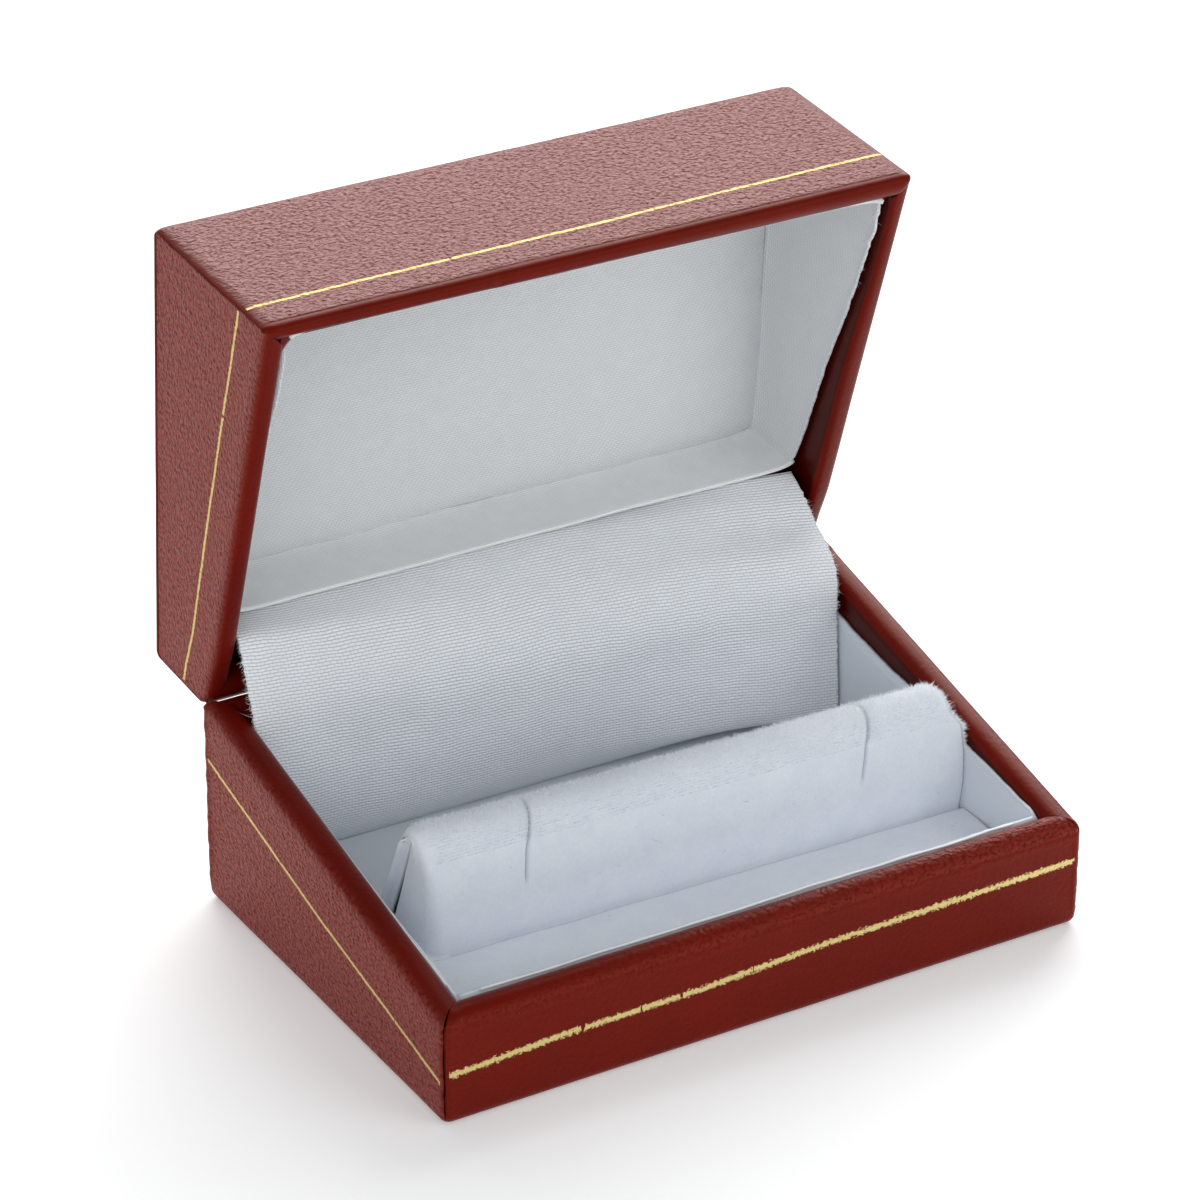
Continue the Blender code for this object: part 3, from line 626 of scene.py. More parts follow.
def make_covers():
    # the second colour of each leather is its grain-top colour, lightened with painted sheen
    grained = leather_material("leather_side", (0.300, 0.058, 0.045), gold_width=0.42)
    # base front: a darker copy of the leather, painted shade
    front = leather_material("leather_base_front_painted_shade", (0.26, 0.035, 0.026), (0.152, 0.0034, 0.0005), 0.66, ragged=2.9)
    # lid front: a pinker, lighter copy of the leather, painted sheen of the glare on the top
    lid_front = leather_material("leather_lid_front_painted_sheen", (0.350, 0.155, 0.150), gold_width=0.42)
    side_line = ((-26.7, 0.0, 26.7), (7.6, 7.8, 7.05))
    lid_line = ((-26.7, 0.0, 26.7), (6.1, 6.0, 5.4))
    cover("base", "front", front, ((-40, -26, -9, 6, 23, 40), (6.45, 5.75, 5.6, 4.85, 4.58, 4.3)),
          corner=(0.5, 0.6), power=2.0, height=1.3, turn_in=4.0, seed=2.0, ridge=0.05, raised=0.1,
          face_smooth=0.93, rim_smooth=(0.5, 1.0),
          lumps=(((-38.6, -26.2, 12.6), 0.6, 0.3), ((38.2, -25.6, 12.6), 0.6, 0.2)))
    cover("base", "left", grained, side_line, corner=(0.6, 0.4), raised=0.2, seed=3.0, height=1.1,
          lumps=(((-38.9, -25.9, 12.2), 0.6, 0.15),))
    cover("base", "right", grained, side_line, corner=(0.4, 0.5), raised=0.1, seed=4.0, height=1.1,
          lumps=(((39.0, 24.0, 24.6), 1.0, 0.2),))
    cover("base", "back", grained, None, corner=(0.4, 0.4), power=1.6, height=2.2, turn_in=3.0,
          cut=(HINGE_HALF, 21.98, 60.0), seed=5.0)
    thinner = ((0.0, 12.0, 26.7), (1.0, 0.76, 0.7))
    for side, x, seed, narrow in (("left", -38.8, 6.0, None), ("right", 38.8, 7.0, thinner)):
        cover("lid", side, grained, lid_line, corner=(0.35, 0.35), raised=0.13, seed=seed, turn_in=8.0,
              narrow=narrow, lumps=(((x, -26.0, 14.3), 0.6, 0.1),))
    make_lid_strip(lid_front)
    make_seams(grained)


def front_width(x):
    """How wide the lid's front rim is along X: the board is thinner on the left."""
    return np.interp(x, (-38.0, 0.0, 38.0), (1.15, 1.5, 1.9))


def make_lid_strip(material):
    """One long strip over the lid: front rim, front wall, top, back wall, back rim, in the closed place."""
    r = 0.8
    path = []
    front_rim = 1.8
    depth, drop = rim_curve(2.3, 0.9, 14, front_rim)
    for q in np.linspace(4.5, 0.9, 4)[:-1]:
        path.append((-HALF_D + front_rim, LID_FRONT + 0.5 + q, front_rim, 1.0, -1))
    for d, q in list(zip(depth, drop))[::-1]:
        path.append((-HALF_D + d, LID_FRONT + 0.15 + q + 0.25 * d, d, 1.0, -1))
    for z in np.linspace(LID_FRONT + 0.95, TOP - r, 50)[1:-1]:
        path.append((-HALF_D, z, 0.0, share(1 - (z - LID_FRONT - 0.9) / 0.7), 0))
    for a in np.linspace(0, 90, 8):
        k = math.radians(a)
        path.append((-HALF_D + r - r * math.cos(k), TOP - r + r * math.sin(k), 0.0, 0.35, 0))
    for y in np.linspace(-HALF_D + r, HALF_D - r, 90)[1:-1]:
        path.append((y, TOP, 0.0, 0.0, 2))
    for a in np.linspace(90, 0, 8):
        k = math.radians(a)
        path.append((HALF_D - r + r * math.cos(k), TOP - r + r * math.sin(k), 0.0, 0.35, 3))
    depth, drop = rim_curve(2.0, 1.3)
    for z in np.linspace(TOP - r, LID_BACK + BACK_ROOM + 1.3, 20)[1:-1]:
        path.append((HALF_D, z, 0.0, 0.0, 3))
    for d, q in zip(depth, drop):
        path.append((HALF_D - d, LID_BACK + BACK_ROOM + q, d, 1.0, 4))
    for q in np.linspace(1.3, 3.0, 3)[1:]:
        path.append((HALF_D - RIM, LID_BACK + BACK_ROOM + q, RIM, 1.0, 4))
    line = np.array([(p[0], p[1]) for p in path])
    tangent = unit(np.gradient(line, axis=0))
    inward = stacked(tangent[:, 1], -tangent[:, 0])
    t = spread(HALF_W, 0.5, [-HINGE_HALF, HINGE_HALF])
    P = np.zeros((len(path), len(t), 3))
    smooth = np.zeros(P.shape[:2])
    for i, (y, z, d0, s, bend) in enumerate(path):
        outer = max(0.0, 1.0 - d0 / (RIM * 0.6))
        radius = 1.3 * outer + 1e-6
        end = HALF_W - d0 - 0.12 * outer
        tt = t / HALF_W * end
        over = np.clip(np.abs(tt) - (HALF_W - d0 - radius), 0, radius)
        delta = 0.5 * outer * (1 - np.sqrt(np.maximum(1 - (over / radius) ** 2, 0)))
        y_here = -HALF_D + (y + HALF_D) * front_width(tt) / front_rim if bend < 0 else y
        P[i] = stacked(tt, y_here + inward[i, 0] * delta, z + inward[i, 1] * delta)
        from_end = end - np.abs(tt)
        smooth[i] = np.maximum(s, share(1.15 - from_end / 1.3))
    nick = np.exp(-(np.linalg.norm(P - np.array([-12.0, -HALF_D + 1.2, LID_FRONT]), axis=-1) / 0.8) ** 2)
    P[..., 2] += nick * (0.3 + 0.3 * wobble(P, 0.6, 9.0))
    P[..., 1] += nick * 0.25
    shake = wobble(P, 9.0, 8.0) * 0.05 + wobble(P, 2.5, 8.0) * 0.018
    P[..., 1] -= inward[:, 0][:, None] * shake
    P[..., 2] -= inward[:, 1][:, None] * shake
    uv = stacked(P[..., 0], running(P))
    above = P[..., 2] - LID_FRONT
    gold = above - np.interp(P[..., 0], (-40, -21, 3, 26, 40), (5.0, 5.2, 5.4, 5.9, 6.0))
    part = np.array([p[4] for p in path])[:, None]
    gold = np.where(part < 0, -NO_GOLD, np.where(part > 1, NO_GOLD, gold))
    gold = np.where(np.abs(P[..., 0]) < 39.6, gold, np.sign(gold) * NO_GOLD)
    mid = (P[:-1, :-1] + P[1:, 1:]) / 2
    keep = ~((np.abs(mid[..., 0]) < HINGE_HALF) & (mid[..., 1] > 20) & (mid[..., 2] < 28.98))
    piece = grid("lid_top_cover", open_lid(P), uv, material, 0.4, keep, {"smooth": smooth, "gold": gold}, side=1.0)
    finish_piece(piece, "lid", "leatherette", "lid_top_wrap")
    # the turned-in leather fills the opening's front corners with a small rounded fold
    for side, radius in ((-1, 4.6), (1, 1.4)):
        edge_x, edge_y = side * (HALF_W - RIM - 0.1), -HALF_D + float(front_width(side * 37.0)) - 0.1
        a = np.linspace(0, math.pi / 2, 14)
        f = column(7)
        arc = stacked(edge_x - side * radius * (1 - np.cos(a)), edge_y + radius * (1 - np.sin(a)))
        C = np.zeros((len(f), len(a), 3))
        C[..., 0] = arc[:, 0] * (1 - f) + (edge_x + side * 0.5) * f
        C[..., 1] = arc[:, 1] * (1 - f) + (edge_y - 0.5) * f
        C[..., 2] = lid_rim(C[..., 1]) + 1.2 - 0.65 * np.sqrt(f)
        C += (wobble(C, 0.9, 15.0) * 0.08)[..., None]
        fold = grid("lid_corner_fold_%s" % ("left" if side < 0 else "right"), open_lid(C), C[..., :2], material,
                    0.5, None, plain_leather(C, 1.0), side=float(side))
        finish_piece(fold, "lid", "leatherette")


# ---- cards of the tray

def upright(name, x, outline_y, outline_top, foot, material, side, wave=0.0, seed=1.0):
    """A card standing across X with a wavy top edge."""
    y = np.linspace(outline_y[0], outline_y[-1], 90)
    top = np.interp(y, outline_y, outline_top)
    probe = stacked(x, y, top)
    top = top + wobble(probe, 1.3, seed) * wave + wobble(probe, 0.45, seed + 3) * wave * 0.5
    f = column(12)
    z = foot + (top[None] - foot) * f
    P = stacked(x, y, z)
    P[..., 0] += wobble(P, 14.0, seed) * 0.12
    return grid(name, P, P[..., 1:], material, 0.4, side=side)


def make_cards():
    card = card_material("lining_card")
    inner = HALF_W - LINING_INSET
    foot = corners("base_left_card")[0][2]
    y_r = (-23.4, -22.1, -19.5, -14.0, -8.0, -2.0, 1.6, 5.5, 9.7, 13.0, 16.2, 22.0)
    z_r = (12.6, 13.3, 13.6, 14.6, 15.5, 16.7, 17.2, 17.6, 18.3, 18.9, 19.5, 20.6)
    right = upright("tray_right_card", inner + 0.25, y_r, z_r, foot, card, -1.0, 0.12, 2.0)
    finish_piece(right, "base", "lining_card", "base_right_card")
    y_l = (-23.4, -21.3, -17.2, -13.0, -8.4, -2.9, 5.7, 14.0, 22.0)
    z_l = (12.6, 13.2, 14.1, 14.7, 15.6, 16.7, 18.6, 20.2, 21.4)
    # the card's top edge uses a lighter copy of the card colour: painted highlight where the edge catches the light
    lit_edge_colour = card_material("card_edge_painted_highlight", (0.96, 0.97, 0.98), 0.01)
    rim_line = [(-inner - 0.12, y, z + 0.08) for y, z in zip(y_l[1:], z_l[1:])]
    bead("left_card_edge", rim_line, 0.15, lit_edge_colour, "base", 70.0, "lining_card")
    left = upright("tray_left_card", -inner, y_l, z_l, foot, card, 1.0, 0.07, 4.0)
    finish_piece(left, "base", "lining_card", "base_left_card")
    x = np.linspace(-inner + 0.3, inner - 0.3, 150)
    y0 = -HALF_D + LINING_INSET
    probe = stacked(x, y0, 12.4)
    top = 13.0 + wobble(probe, 6.0, 2.0) * 0.15 + wobble(probe, 0.7, 5.0) * 0.1
    f = column(10)
    z = foot + (top[None] - foot) * f
    P = stacked(x, y0, z)
    bead("front_card_edge", [(a, y0 - 0.1, b + 0.08) for a, b in zip(x[5:-5:6], top[5:-5:6])], 0.15, lit_edge_colour, "base",
         71.0, "lining_card")
    front = grid("tray_front_card", P, P[..., [0, 2]], card, 0.4, side=-1.0)
    finish_piece(front, "base", "lining_card", "base_front_card")


# ---- velvet ridge

SHELF = corners("insert_velvet")[0][2] + 1.1
TRAY_FLOOR = corners("floor_card")[1][2]
CREASE = -8.4
END_LEFT, END_RIGHT = -31.5, 36.5
# each slit: heights, the middle line's x at those heights, and the height of its foot
SLITS = (((21.2, 19.6, 17.5, 15.0, 12.0), (-17.7, -18.3, -19.2, -19.6, -19.8), 13.1),
         ((21.2, 19.6, 18.2, 16.0, 14.3, 12.5), (25.2, 24.6, 23.9, 23.3, 22.9, 22.5), 13.6))


def ridge_profile():
    """(y, z, part) rows of the velvet's skin: lip, shelf, front of the ridge, crown, back leg."""
    rows = []
    for part, step, route in (
        (0.0, 0.25, [(-22.9, 6.5), (-22.95, 7.1), (-22.7, 7.45), (-21.8, SHELF)]),
        (0.0, 0.5, [(-21.8, SHELF), (-16.0, SHELF - 0.1), (-11.0, SHELF), (-9.7, SHELF - 0.03)]),
        (0.0, 0.12, [(-9.7, SHELF - 0.03), (-9.15, SHELF - 0.08), (-8.92, SHELF - 0.42), (-8.75, SHELF - 0.5)]),
        (1.0, 0.33, [
            (-8.75, SHELF - 0.5), (-8.6, SHELF - 0.3), (-8.68, 8.0), (-8.95, 9.5), (-9.15, 11.5),
            (-9.0, 14.5), (-8.3, 17.6), (-7.2, 19.75), (-5.9, 21.0), (-4.4, 21.35), (-3.0, 20.9),
            (-2.2, 19.8), (-0.6, 16.5), (1.6, 12.3), (4.4, 6.6)]),
    ):
        rows += [(y, z, part) for y, z in resample(route, step)[1 if rows else 0:]]
    return np.array(rows)


def slit_line(z):
    """Y of the slit between the folded end flap and the back leg, seen from the left."""
    return -5.0 + (20.5 - z) / 12.6 * 5.2


def end_section(y, z):
    """One row of the skin carried round the ridge's left end to the slit, as (x, y, z) columns."""
    behind = y > -4.2
    zt = min(z - (1.1 if behind else 0.15), 20.3)
    start, target = np.array([y, z]), np.array([slit_line(zt), zt])
    reach = np.linalg.norm(target - start)
    u = (target - start) / reach
    r = min(1.0 if behind else np.interp(z, (7.5, 19.5), (2.1, 1.1)), 0.6 * reach)
    reach -= 0.10 + 0.035 * max(0.0, 20.3 - z)
    points = [(r * (1 - math.sin(k)), r * (1 - math.cos(k))) for k in np.linspace(0, math.pi / 2, 9)[1:]]
    flat = reach - 0.25 - r
    swell = 1.0 if behind else 0.15
    points += [(-swell * math.sin(math.pi * f) ** 0.8, r + flat * f) for f in np.linspace(0, 1, 8)[1:]]
    points += [(0.25 * (1 - math.cos(k)), reach - 0.25 + 0.25 * math.sin(k)) for k in (0.5, 1.0, 1.5)]
    points.append((0.42, reach + 0.10))
    return r, np.array([(END_LEFT + x, *(start + u * d)) for x, d in points])


def make_insert():
    velvet = velvet_material("white_velvet")

    def flock(name, points, uv, hollow_shade, keep=None, *nodes):
        piece = grid(name, points, uv, velvet, 0.35, keep, {"hollow_shade": hollow_shade})
        finish_piece(piece, "base", "velvet", *nodes)

    rows = ridge_profile()
    way = unit(np.gradient(rows[:, :2], axis=0))
    normal = stacked(-way[:, 1], way[:, 0])
    x = [np.linspace(END_LEFT, END_RIGHT, 190)]
    for _, middle, _ in SLITS:
        x.append(middle[0] + np.array([-1.1, -0.6, -0.36, -0.24, -0.16, -0.08, 0.0, 0.08, 0.16, 0.24, 0.36, 0.6, 1.1]))
    x = np.unique(np.round(np.concatenate(x), 4))
    x = x[np.concatenate([[True], np.diff(x) > 0.05])]
    side = len(end_section(-9.0, 10.0)[1])
    P = np.zeros((len(rows), side + len(x), 3))
    hollow_shade = np.zeros(P.shape[:2])
    for i, (y, z, ridge) in enumerate(rows):
        main = P[i, side:]
        main[:] = stacked(x, y, z)
        if not ridge:
            P[i, :side] = stacked(np.linspace(-36.0, END_LEFT, side + 1)[:-1], y, z)
            # painted shade along the crease at the foot of the ridge
            hollow_shade[i] = 0.8 * np.exp(-((y + 8.8) / 0.35) ** 2)
            continue
        r, columns = end_section(y, z)
        P[i, :side] = columns[::-1]
        # painted shade on the end flap's edge beside the slit
        hollow_shade[i, :4] = (0.45, 0.35, 0.15, 0.0)
        near_end = share((x - END_LEFT) / 4.5)
        main[:, 0] += r * (1 - near_end)
        for heights, middle, foot in SLITS:
            centre = middle[0]
            shift = np.interp(z, heights[::-1], middle[::-1]) - centre
            if y > -4.4:
                shift = 0.0
            main[:, 0] += shift * np.exp(-((x - centre) / 3.5) ** 2)
            fade = share((z - foot) / 1.5) if y < -4.4 else share((z - 19.8) / 1.4)
            cut = fade * np.exp(-(np.abs(x - centre) / 0.15) ** 2.0)
            soft = fade * np.exp(-((x - centre) / 0.8) ** 2) * 0.10
            depth = 0.5 * cut + soft
            main[:, 1:] -= normal[i] * depth[:, None]
            # painted shade inside the slits
            hollow_shade[i, side:] = np.maximum(hollow_shade[i, side:], cut * 0.40)
        # the right end is stepped: the crown stops short of the front face and sags a little
        crown = share((z - 18.0) / 1.8)
        main[:, 0] -= 1.3 * crown * share((x - 33.0) / 3.6) ** 2
        main[:, 2] -= 0.75 * share((z - 16.0) / 4.0) * share((x - 33.4) / 3.2) ** 2
        turned = share((x - END_RIGHT + 0.6) / 0.6) ** 2 * 0.35
        main[:, 1:] -= normal[i] * turned[:, None]
    keep = np.ones((P.shape[0] - 1, P.shape[1] - 1), bool)
    first = int(np.nonzero(rows[:, 2] > 0)[0][0])
    keep[first - 1, :side] = False
    shake = wobble(P, 6.0, 11.0) * 0.09 + wobble(P, 1.6, 12.0) * 0.03
    P[..., 2] += shake
    P[..., 1] += shake * 0.5
    P = askew(P)
    uv = stacked(P[..., 0], running(P))
    flock("ridge_velvet", P, uv, hollow_shade, keep, "insert_velvet")
    # the end flap's foot runs on down to the tray floor, with painted shade growing towards the floor
    f = column(8)
    top = P[first + 1, :side + 2]
    E = np.repeat(top[None], len(f), 0)
    E[..., 2] = top[None, :, 2] * (1 - f) + (TRAY_FLOOR + 0.1) * f
    flock("ridge_end_foot", E, E[..., 1:], np.repeat(f * 0.25, side + 2, 1))
    # a tongue of the shelf reaches a little behind the front corner, up to the left card
    X, Y = np.meshgrid(np.linspace(-36.0, -29.0, 24), np.linspace(-9.0, -5.2, 14))
    T = stacked(X, Y, SHELF - 0.12 + 0 * X)
    T[..., 2] += 0.45 * np.exp(-((X - END_LEFT + 0.2) / 0.5) ** 2) * (X < END_LEFT + 0.3)
    T[-1, :, 2] = TRAY_FLOOR + 0.1
    flock("shelf_tongue", askew(T), T[..., :2], np.zeros(X.shape))
    make_fuzz(P[:, side:], rows)


def askew(points):
    """The insert lies turned a little in its tray."""
    p = np.array(points, float)
    angle = math.radians(-1.4)
    dx, dy = p[..., 0] - 2.5, p[..., 1] - CREASE
    p[..., 0] = 2.5 + dx * math.cos(angle) - dy * math.sin(angle)
    p[..., 1] = CREASE + dx * math.sin(angle) + dy * math.cos(angle)
    return p


def strands(name, roots, directions, lengths, width, material, bend=0.3):
    """Many tiny tapered fibres in one mesh."""
    vertices, faces = [], []
    for root, way, length in zip(roots, directions, lengths):
        way = way / (np.linalg.norm(way) + 1e-9)
        across = np.cross(way, RNG.normal(size=3))
        across /= np.linalg.norm(across) + 1e-9
        third = np.cross(way, across)
        curl = RNG.normal(size=3) * bend
        k = len(vertices)
        for f, w in ((0.0, 1.0), (0.5, 0.75)):
            centre = root + way * length * f + curl * length * f * f
            for q in range(3):
                ang = q * 2.0944
                vertices.append(centre + (across * math.cos(ang) + third * math.sin(ang)) * width * w)
        vertices.append(root + way * length + curl * length)
        for q in range(3):
            r = (q + 1) % 3
            faces += [(k + q, k + r, k + 3 + r, k + 3 + q), (k + 3 + q, k + 3 + r, k + 6)]
    mesh = bpy.data.meshes.new(name)
    mesh.from_pydata((np.array(vertices) * MM).tolist(), [], faces)
    mesh.materials.append(material)
    return add_object(name, mesh)


def make_fuzz(P, rows):
    """Pile that shows along the crown, the slits and down the right end of the ridge."""
    ridge = rows[:, 2] > 0
    crown = np.nonzero(ridge & (rows[:, 0] > -8.0) & (rows[:, 0] < -1.8) & (rows[:, 1] > 18.0))[0]
    count = 13000
    i = RNG.choice(crown, count)
    j = RNG.integers(1, P.shape[1] - 1, count)
    f = RNG.random(count)[:, None]
    roots = P[i, j] * (1 - f) + P[i, j + 1 - (j == P.shape[1] - 1)] * f
    y = rows[i, 0]
    ways = stacked(RNG.normal(size=count) * 0.5, (y + 4.4) * 0.35 + RNG.normal(size=count) * 0.3, np.full(count, 0.9))
    lengths = RNG.uniform(0.2, 0.55, count)
    front = np.nonzero(ridge & (rows[:, 0] < -3.0))[0]
    count = 2200
    i = RNG.choice(front, count)
    tall = P[i, -1, 2]
    ends = P[i, -1] + RNG.normal(size=(count, 3)) * 0.08
    sway = RNG.normal(size=count) * 0.4 - 0.3
    tilt = stacked(1.0, sway, 0.4 * (tall > 17) + RNG.normal(size=count) * 0.35)
    sizes = RNG.uniform(0.15, 0.4, count) + 0.4 * (tall > 17.0) * RNG.random(count)
    # the pile tips use a lighter copy of the card colour: painted highlight of the backlit pile
    piece = strands("ridge_pile", np.vstack([roots, ends]), np.vstack([ways, tilt]),
                    np.concatenate([lengths, sizes]), 0.027, card_material("pile_tips_painted_highlight", (0.93, 0.95, 0.98), 0.01))
    finish_piece(piece, "base", "velvet")
    # dust hairs caught on the flock
    face = np.nonzero((rows[:, 0] < -9.8) | (ridge & (rows[:, 0] < -6.5)))[0]
    count = 46
    at = P[RNG.choice(face, count), RNG.integers(2, P.shape[1] - 2, count)]
    flat = stacked(RNG.normal(size=count), RNG.normal(size=count) * 0.4, RNG.normal(size=count) * 0.4)
    grain_sheen_and_dust = strands("dust_hairs", at + np.array([0.0, -0.06, 0.06]), flat, RNG.uniform(0.25, 0.8, count), 0.014,
                   card_material("dust_grey", (0.30, 0.30, 0.33), 0.01), 0.35)
    finish_piece(grain_sheen_and_dust, "base", "velvet")


# ---- lid lining

def make_lid_lining():
    # each satin pairs a lit float colour (painted highlight) with a shaded gap colour (painted shade)
    satin = satin_material("lid_satin", rgb(0.80, 0.815, 0.82), rgb(0.62, 0.645, 0.67),
                           0.30, 0.62, 0.34, 0.05, 0.6, 0.6, 0.5)
    band_satin = satin_material("band_satin", rgb(0.95, 0.955, 0.94), rgb(0.74, 0.75, 0.76),
                                0.28, 0.6, 0.4, 0.05, 0.35, 0.3)
    thread = card_material("loose_thread", (0.90, 0.91, 0.93), 0.02)
    inner = HALF_W - LINING_INSET
    front_y, back_y = -HALF_D + 2.45, 16.1
    z_panel = 35.6
    z_top = z_panel + 0.45
    # padded panel
    x = np.linspace(-inner - 0.25, inner + 0.25, 110)
    y = np.linspace(front_y - 0.25, back_y + 0.25, 64)
    X, Y = np.meshgrid(x, y)
    ex = np.minimum(X - x[0], x[-1] - X)
    ey = np.minimum(Y - y[0], y[-1] - Y)
    lift = (1 - np.exp(-ex / 2.2)) * (1 - np.exp(-ey / 2.2))
    Z = z_panel + 0.7 - 1.3 * lift
    P = stacked(X, Y, Z)
    slant = (X * 0.5 + Y * 0.86) / 5.5
    P[..., 2] += wobble(P, 16.0, 21.0) * 0.3 + wobble(P, 5.0, 22.0) * 0.05
    P[..., 2] += np.sin(slant + wobble(P, 12.0, 24.0)) * 0.10 * lift
    panel = grid("lid_panel_satin", open_lid(P), stacked(X, Y), satin, 0.3, side=1.0)
    finish_piece(panel, "lid", "satin", "lid_satin_panel", "lid_foam_pad")
    # side linings with a curled, uneven free edge
    for side in (-1, 1):
        y = np.linspace(front_y, back_y + 0.35, 110)
        edge = np.interp(y, (front_y, -20.0, back_y + 0.4), (15.2 if side > 0 else 15.6, 16.1, 28.2))
        probe = stacked(side * inner, y, edge)
        if side < 0:
            edge = np.maximum(edge, 15.2 + np.clip(-22.0 - y, 0, 5) * 1.2)
        rough = wobble(probe, 1.1, 23.0 + side) * 0.22 + wobble(probe, 0.35, 25.0) * 0.12
        edge = edge + rough * np.interp(y, (-23.4, -12, 16), (1.6, 0.8, 0.4))
        f = column(40)
        Z = z_top - (z_top - edge[None]) * f
        Xs = np.full_like(Z, side * (inner + 0.05))
        top = np.exp(-((z_top - Z) / 1.1))
        Xs -= side * top * 0.75
        corner = np.exp(-(back_y + 0.35 - y) / 1.3)[None] * 0.8
        Xs -= side * corner
        curl = share((f - 0.93) / 0.07) ** 2 * np.interp(y, (-23.4, -8, 16), (0.7, 0.35, 0.12))[None]
        Xs += -side * curl * 0.6
        if side > 0:
            Xs += 0.8 * f ** 1.5 * np.interp(y, (-24.3, -20, -8, 0), (0.9, 1.0, 0.6, 0.0))[None]
        P = stacked(Xs, y, Z)
        P[..., 0] += side * wobble(P, 12.0, 26.0 + side) * 0.16
        word = "right" if side > 0 else "left"
        piece = grid("lid_%s_satin" % word, open_lid(P), P[..., 1:], satin, 0.3, side=-1.0 * side)
        finish_piece(piece, "lid", "satin", "lid_%s_lining" % word)
        free = P[-1]
        count = 60 if side > 0 else 24
        at = (RNG.random(count) ** 2.0 * 0.3 * len(free)).astype(int)
        inward = -side * (0.4 + RNG.random(count) * 0.6)
        ways = stacked(inward, RNG.normal(size=count) * 0.6, -0.5 - RNG.random(count) * 0.6)
        lengths = np.where(RNG.random(count) < 0.25, RNG.uniform(0.8, 1.7, count), RNG.uniform(0.25, 0.7, count))
        loose = strands("lid_%s_threads" % word, free[at], ways, lengths, 0.03, thread, 0.5)
        loose.data.transform(lid_turn())
        finish_piece(loose, "lid", "satin")
    # front lining and the back band
    for word, y0, low, material, turned in (("front", front_y, 14.4, satin, 0), ("back", back_y, 28.2, band_satin, 9)):
        x = np.linspace(-inner + 0.1, inner - 0.1, 150)
        probe = stacked(x, y0, low)
        edge = low + wobble(probe, 8.0, 31.0) * 0.15
        edge = edge - (0.4 * share((x - 16) / 20) if turned else 0.0)
        if not turned:
            edge = edge - 0.35 * share((x - 10) / 26) + wobble(probe, 0.8, 33.0) * 0.05
        f = column(26)
        Z = z_top - (z_top - edge[None]) * f
        sign = 1 if word == "front" else -1
        Yb = np.full_like(Z, y0)
        if not turned:
            Yb += (front_width(x) - 1.9)[None] - 0.25
        Yb += sign * np.exp(-(z_top - Z) / 1.1) * 0.7
        Yb += sign * np.exp(-(x[-1] - np.abs(x)) / 1.3)[None] * 0.6
        P = stacked(x, Yb, Z)
        P[..., 1] += wobble(P, 12.0, 32.0) * 0.15
        if turned:
            last = P[-1]
            loop = [(0.25 * (1 - math.cos(a)), -0.25 * math.sin(a)) for a in np.linspace(0.4, math.pi, 5)]
            loop += [(0.5, h) for h in np.linspace(0.5, 3.0, 4)]
            P = np.concatenate([P, [last + np.array([0.0, a, b]) for a, b in loop]])
        uv = stacked(P[..., 0], -running(P))
        piece = grid("lid_%s_satin" % word, open_lid(P), uv, material, 0.2 if turned else 0.5, side=1.0 * -sign)
        finish_piece(piece, "lid", "satin", "lid_%s_lining" % word)


# ---- satin flap

def cut_to(route, length):
    """A route trimmed or extended at its start so that it is a given length."""
    p = resample(route, 0.2)[::-1]
    total = np.concatenate([[0], np.cumsum(np.linalg.norm(np.diff(p, axis=0), axis=1))])
    if total[-1] < length:
        way = (p[-1] - p[-2]) / np.linalg.norm(p[-1] - p[-2])
        p = np.vstack([p, p[-1] + way * (length - total[-1])])
        total = np.append(total, length)
    at = np.linspace(0, length, 84)
    return np.stack([np.interp(at, total, p[:, k]) for k in range(2)], -1)[::-1]


def frayed_edges(name, P, length):
    """Loose threads along both side edges of a sheet."""
    roots, ways, lengths = [], [], []
    for column, way in ((0, -1.0), (-1, 1.0)):
        for i in range(len(P) - 1):
            for _ in range(5):
                f = RNG.random()
                roots.append(P[i, column] * (1 - f) + P[i + 1, column] * f)
                ways.append(np.array([way, RNG.normal() * 0.35, RNG.normal() * 0.5 - 0.25]))
                lengths.append(length * RNG.uniform(0.25, 1.0) * (2.2 if RNG.random() < 0.06 else 1.0))
    thread = card_material("loose_thread_" + name, (0.88, 0.90, 0.93), 0.02)
    return strands(name, np.array(roots), np.array(ways), lengths, 0.022, thread, 0.45)


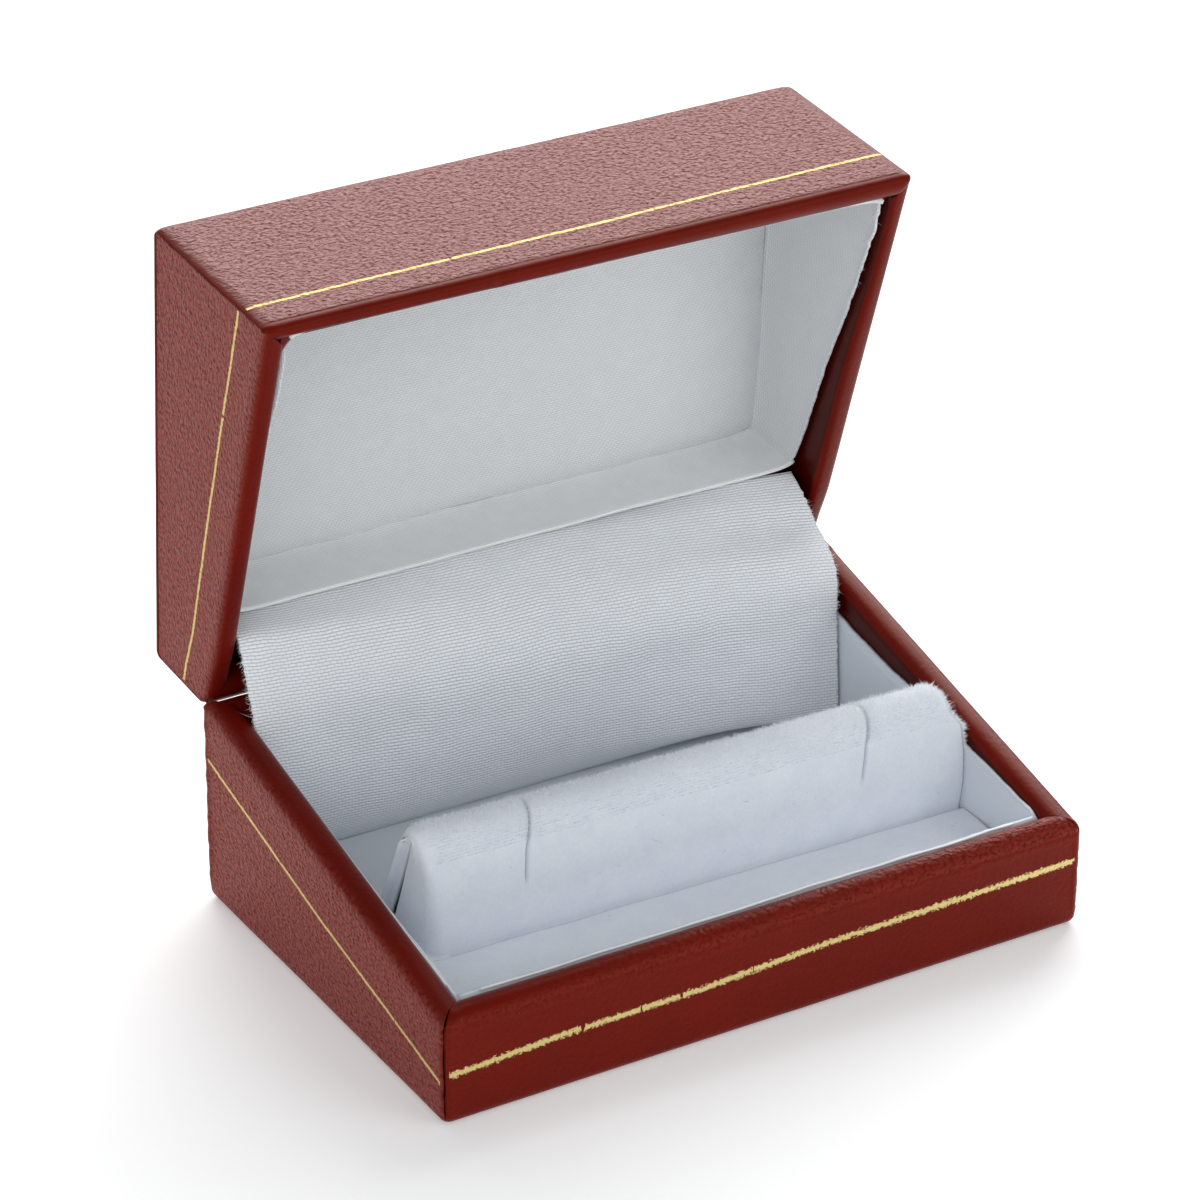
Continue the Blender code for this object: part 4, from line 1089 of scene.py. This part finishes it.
def make_flap():
    # lit float colour (painted highlight) and shaded gap colour (painted shade)
    satin = satin_material("flap_satin", rgb(1.0, 1.0, 1.0), rgb(0.56, 0.615, 0.71),
                           0.375, 0.82, 0.5, 0.08, 1.0, 0.45, 0.8)
    left, middle, right = (cut_to(route, FLAP_LENGTH) for route in (
        [(30.0, 34.3), (27.8, 33.9), (25.0, 33.2), (23.9, 31.6), (22.6, 28.4), (21.4, 24.3),
         (20.6, 18.0), (20.3, 12.0), (20.7, 8.4), (21.6, 6.2), (22.2, 2.6)],
        [(30.0, 34.3), (27.6, 34.0), (23.9, 31.9), (20.4, 28.9), (18.4, 25.2), (17.6, 20.0), (17.7, 14.0),
         (18.6, 9.6), (20.2, 7.0), (21.6, 5.6), (22.2, 2.6)],
        [(30.0, 34.5), (27.6, 34.25), (24.4, 32.3), (21.5, 29.6), (18.4, 27.4), (16.9, 25.0), (16.3, 20.0),
         (16.1, 14.6), (15.9, 10.0), (15.95, 7.7), (17.0, 6.6), (20.9, 6.4), (22.1, 5.2), (22.2, 2.6)]))
    hem = 35.2
    x = np.concatenate([np.linspace(-FLAP_HALF, -hem, 6)[:-1], np.linspace(-hem, hem, 150),
                        np.linspace(hem, FLAP_HALF, 6)[1:]])
    u = (x + FLAP_HALF) / (2 * FLAP_HALF)
    a = share(1 - u * 2.2) ** 1.4
    c = share(u * 1.9 - 0.9) ** 1.3
    b = 1 - a - c
    P = np.zeros((len(left), len(x), 3))
    for k in range(2):
        P[..., k + 1] = left[:, k, None] * a + middle[:, k, None] * b + right[:, k, None] * c
    P[..., 0] = x
    s = column(len(left))
    P[..., 0] -= 0.9 * np.exp(-(x + FLAP_HALF) / 9.0) * share((P[..., 2] - 15.0) / 6.0)
    P[..., 1] += (wobble(P, 13.0, 41.0) * 0.5 + wobble(P, 5.0, 42.0) * 0.12) * np.sin(np.pi * share(s * 1.1)) ** 0.5
    ragged = np.array([noise.noise(Vector((0.0, k * 0.9, 5.0))) for k in range(len(left))]) * 0.25
    P[:, :5, 0] += ragged[:, None]
    P[:, -5:, 0] += ragged[::-1][:, None]
    uv = stacked(x, FLAP_LENGTH * (1 - s))
    flap = grid("hinge_flap", P, uv, satin, 0.18, side=0.0)
    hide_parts("satin_flap")
    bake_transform(flap)
    fray = frayed_edges("flap_fray", P[8:64], 0.55)
    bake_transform(fray)


# ---- carried-over CAD pieces

def paint(nodes, material):
    for name in nodes:
        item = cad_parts[name]
        item.data.materials.clear()
        item.data.materials.append(material)


def make_carried():
    # grain-top colour with painted sheen, as on the sides
    paint(["base_bottom_cover"], leather_material("leather_bottom", (0.26, 0.05, 0.04), object_axes=(1.0, 1.0, 0.0)))
    paint(["base_shell", "lid_shell"], plastic_material("shell_black"))
    paint(["floor_riser_board", "insert_board"], board_material("grey_board"))
    paint(["floor_card"], card_material("floor_card", (0.70, 0.74, 0.79)))
    steel = ["hinge_base_leaf", "hinge_lid_leaf", "hinge_pin", "snap_spring",
             "base_rivet_left", "base_rivet_right", "lid_rivet_left", "lid_rivet_right"]
    paint(steel, steel_material("nickel_steel"))


make_stage()
make_covers()
make_cards()
make_insert()
make_lid_lining()
make_flap()
make_carried()
bpy.context.view_layer.update()
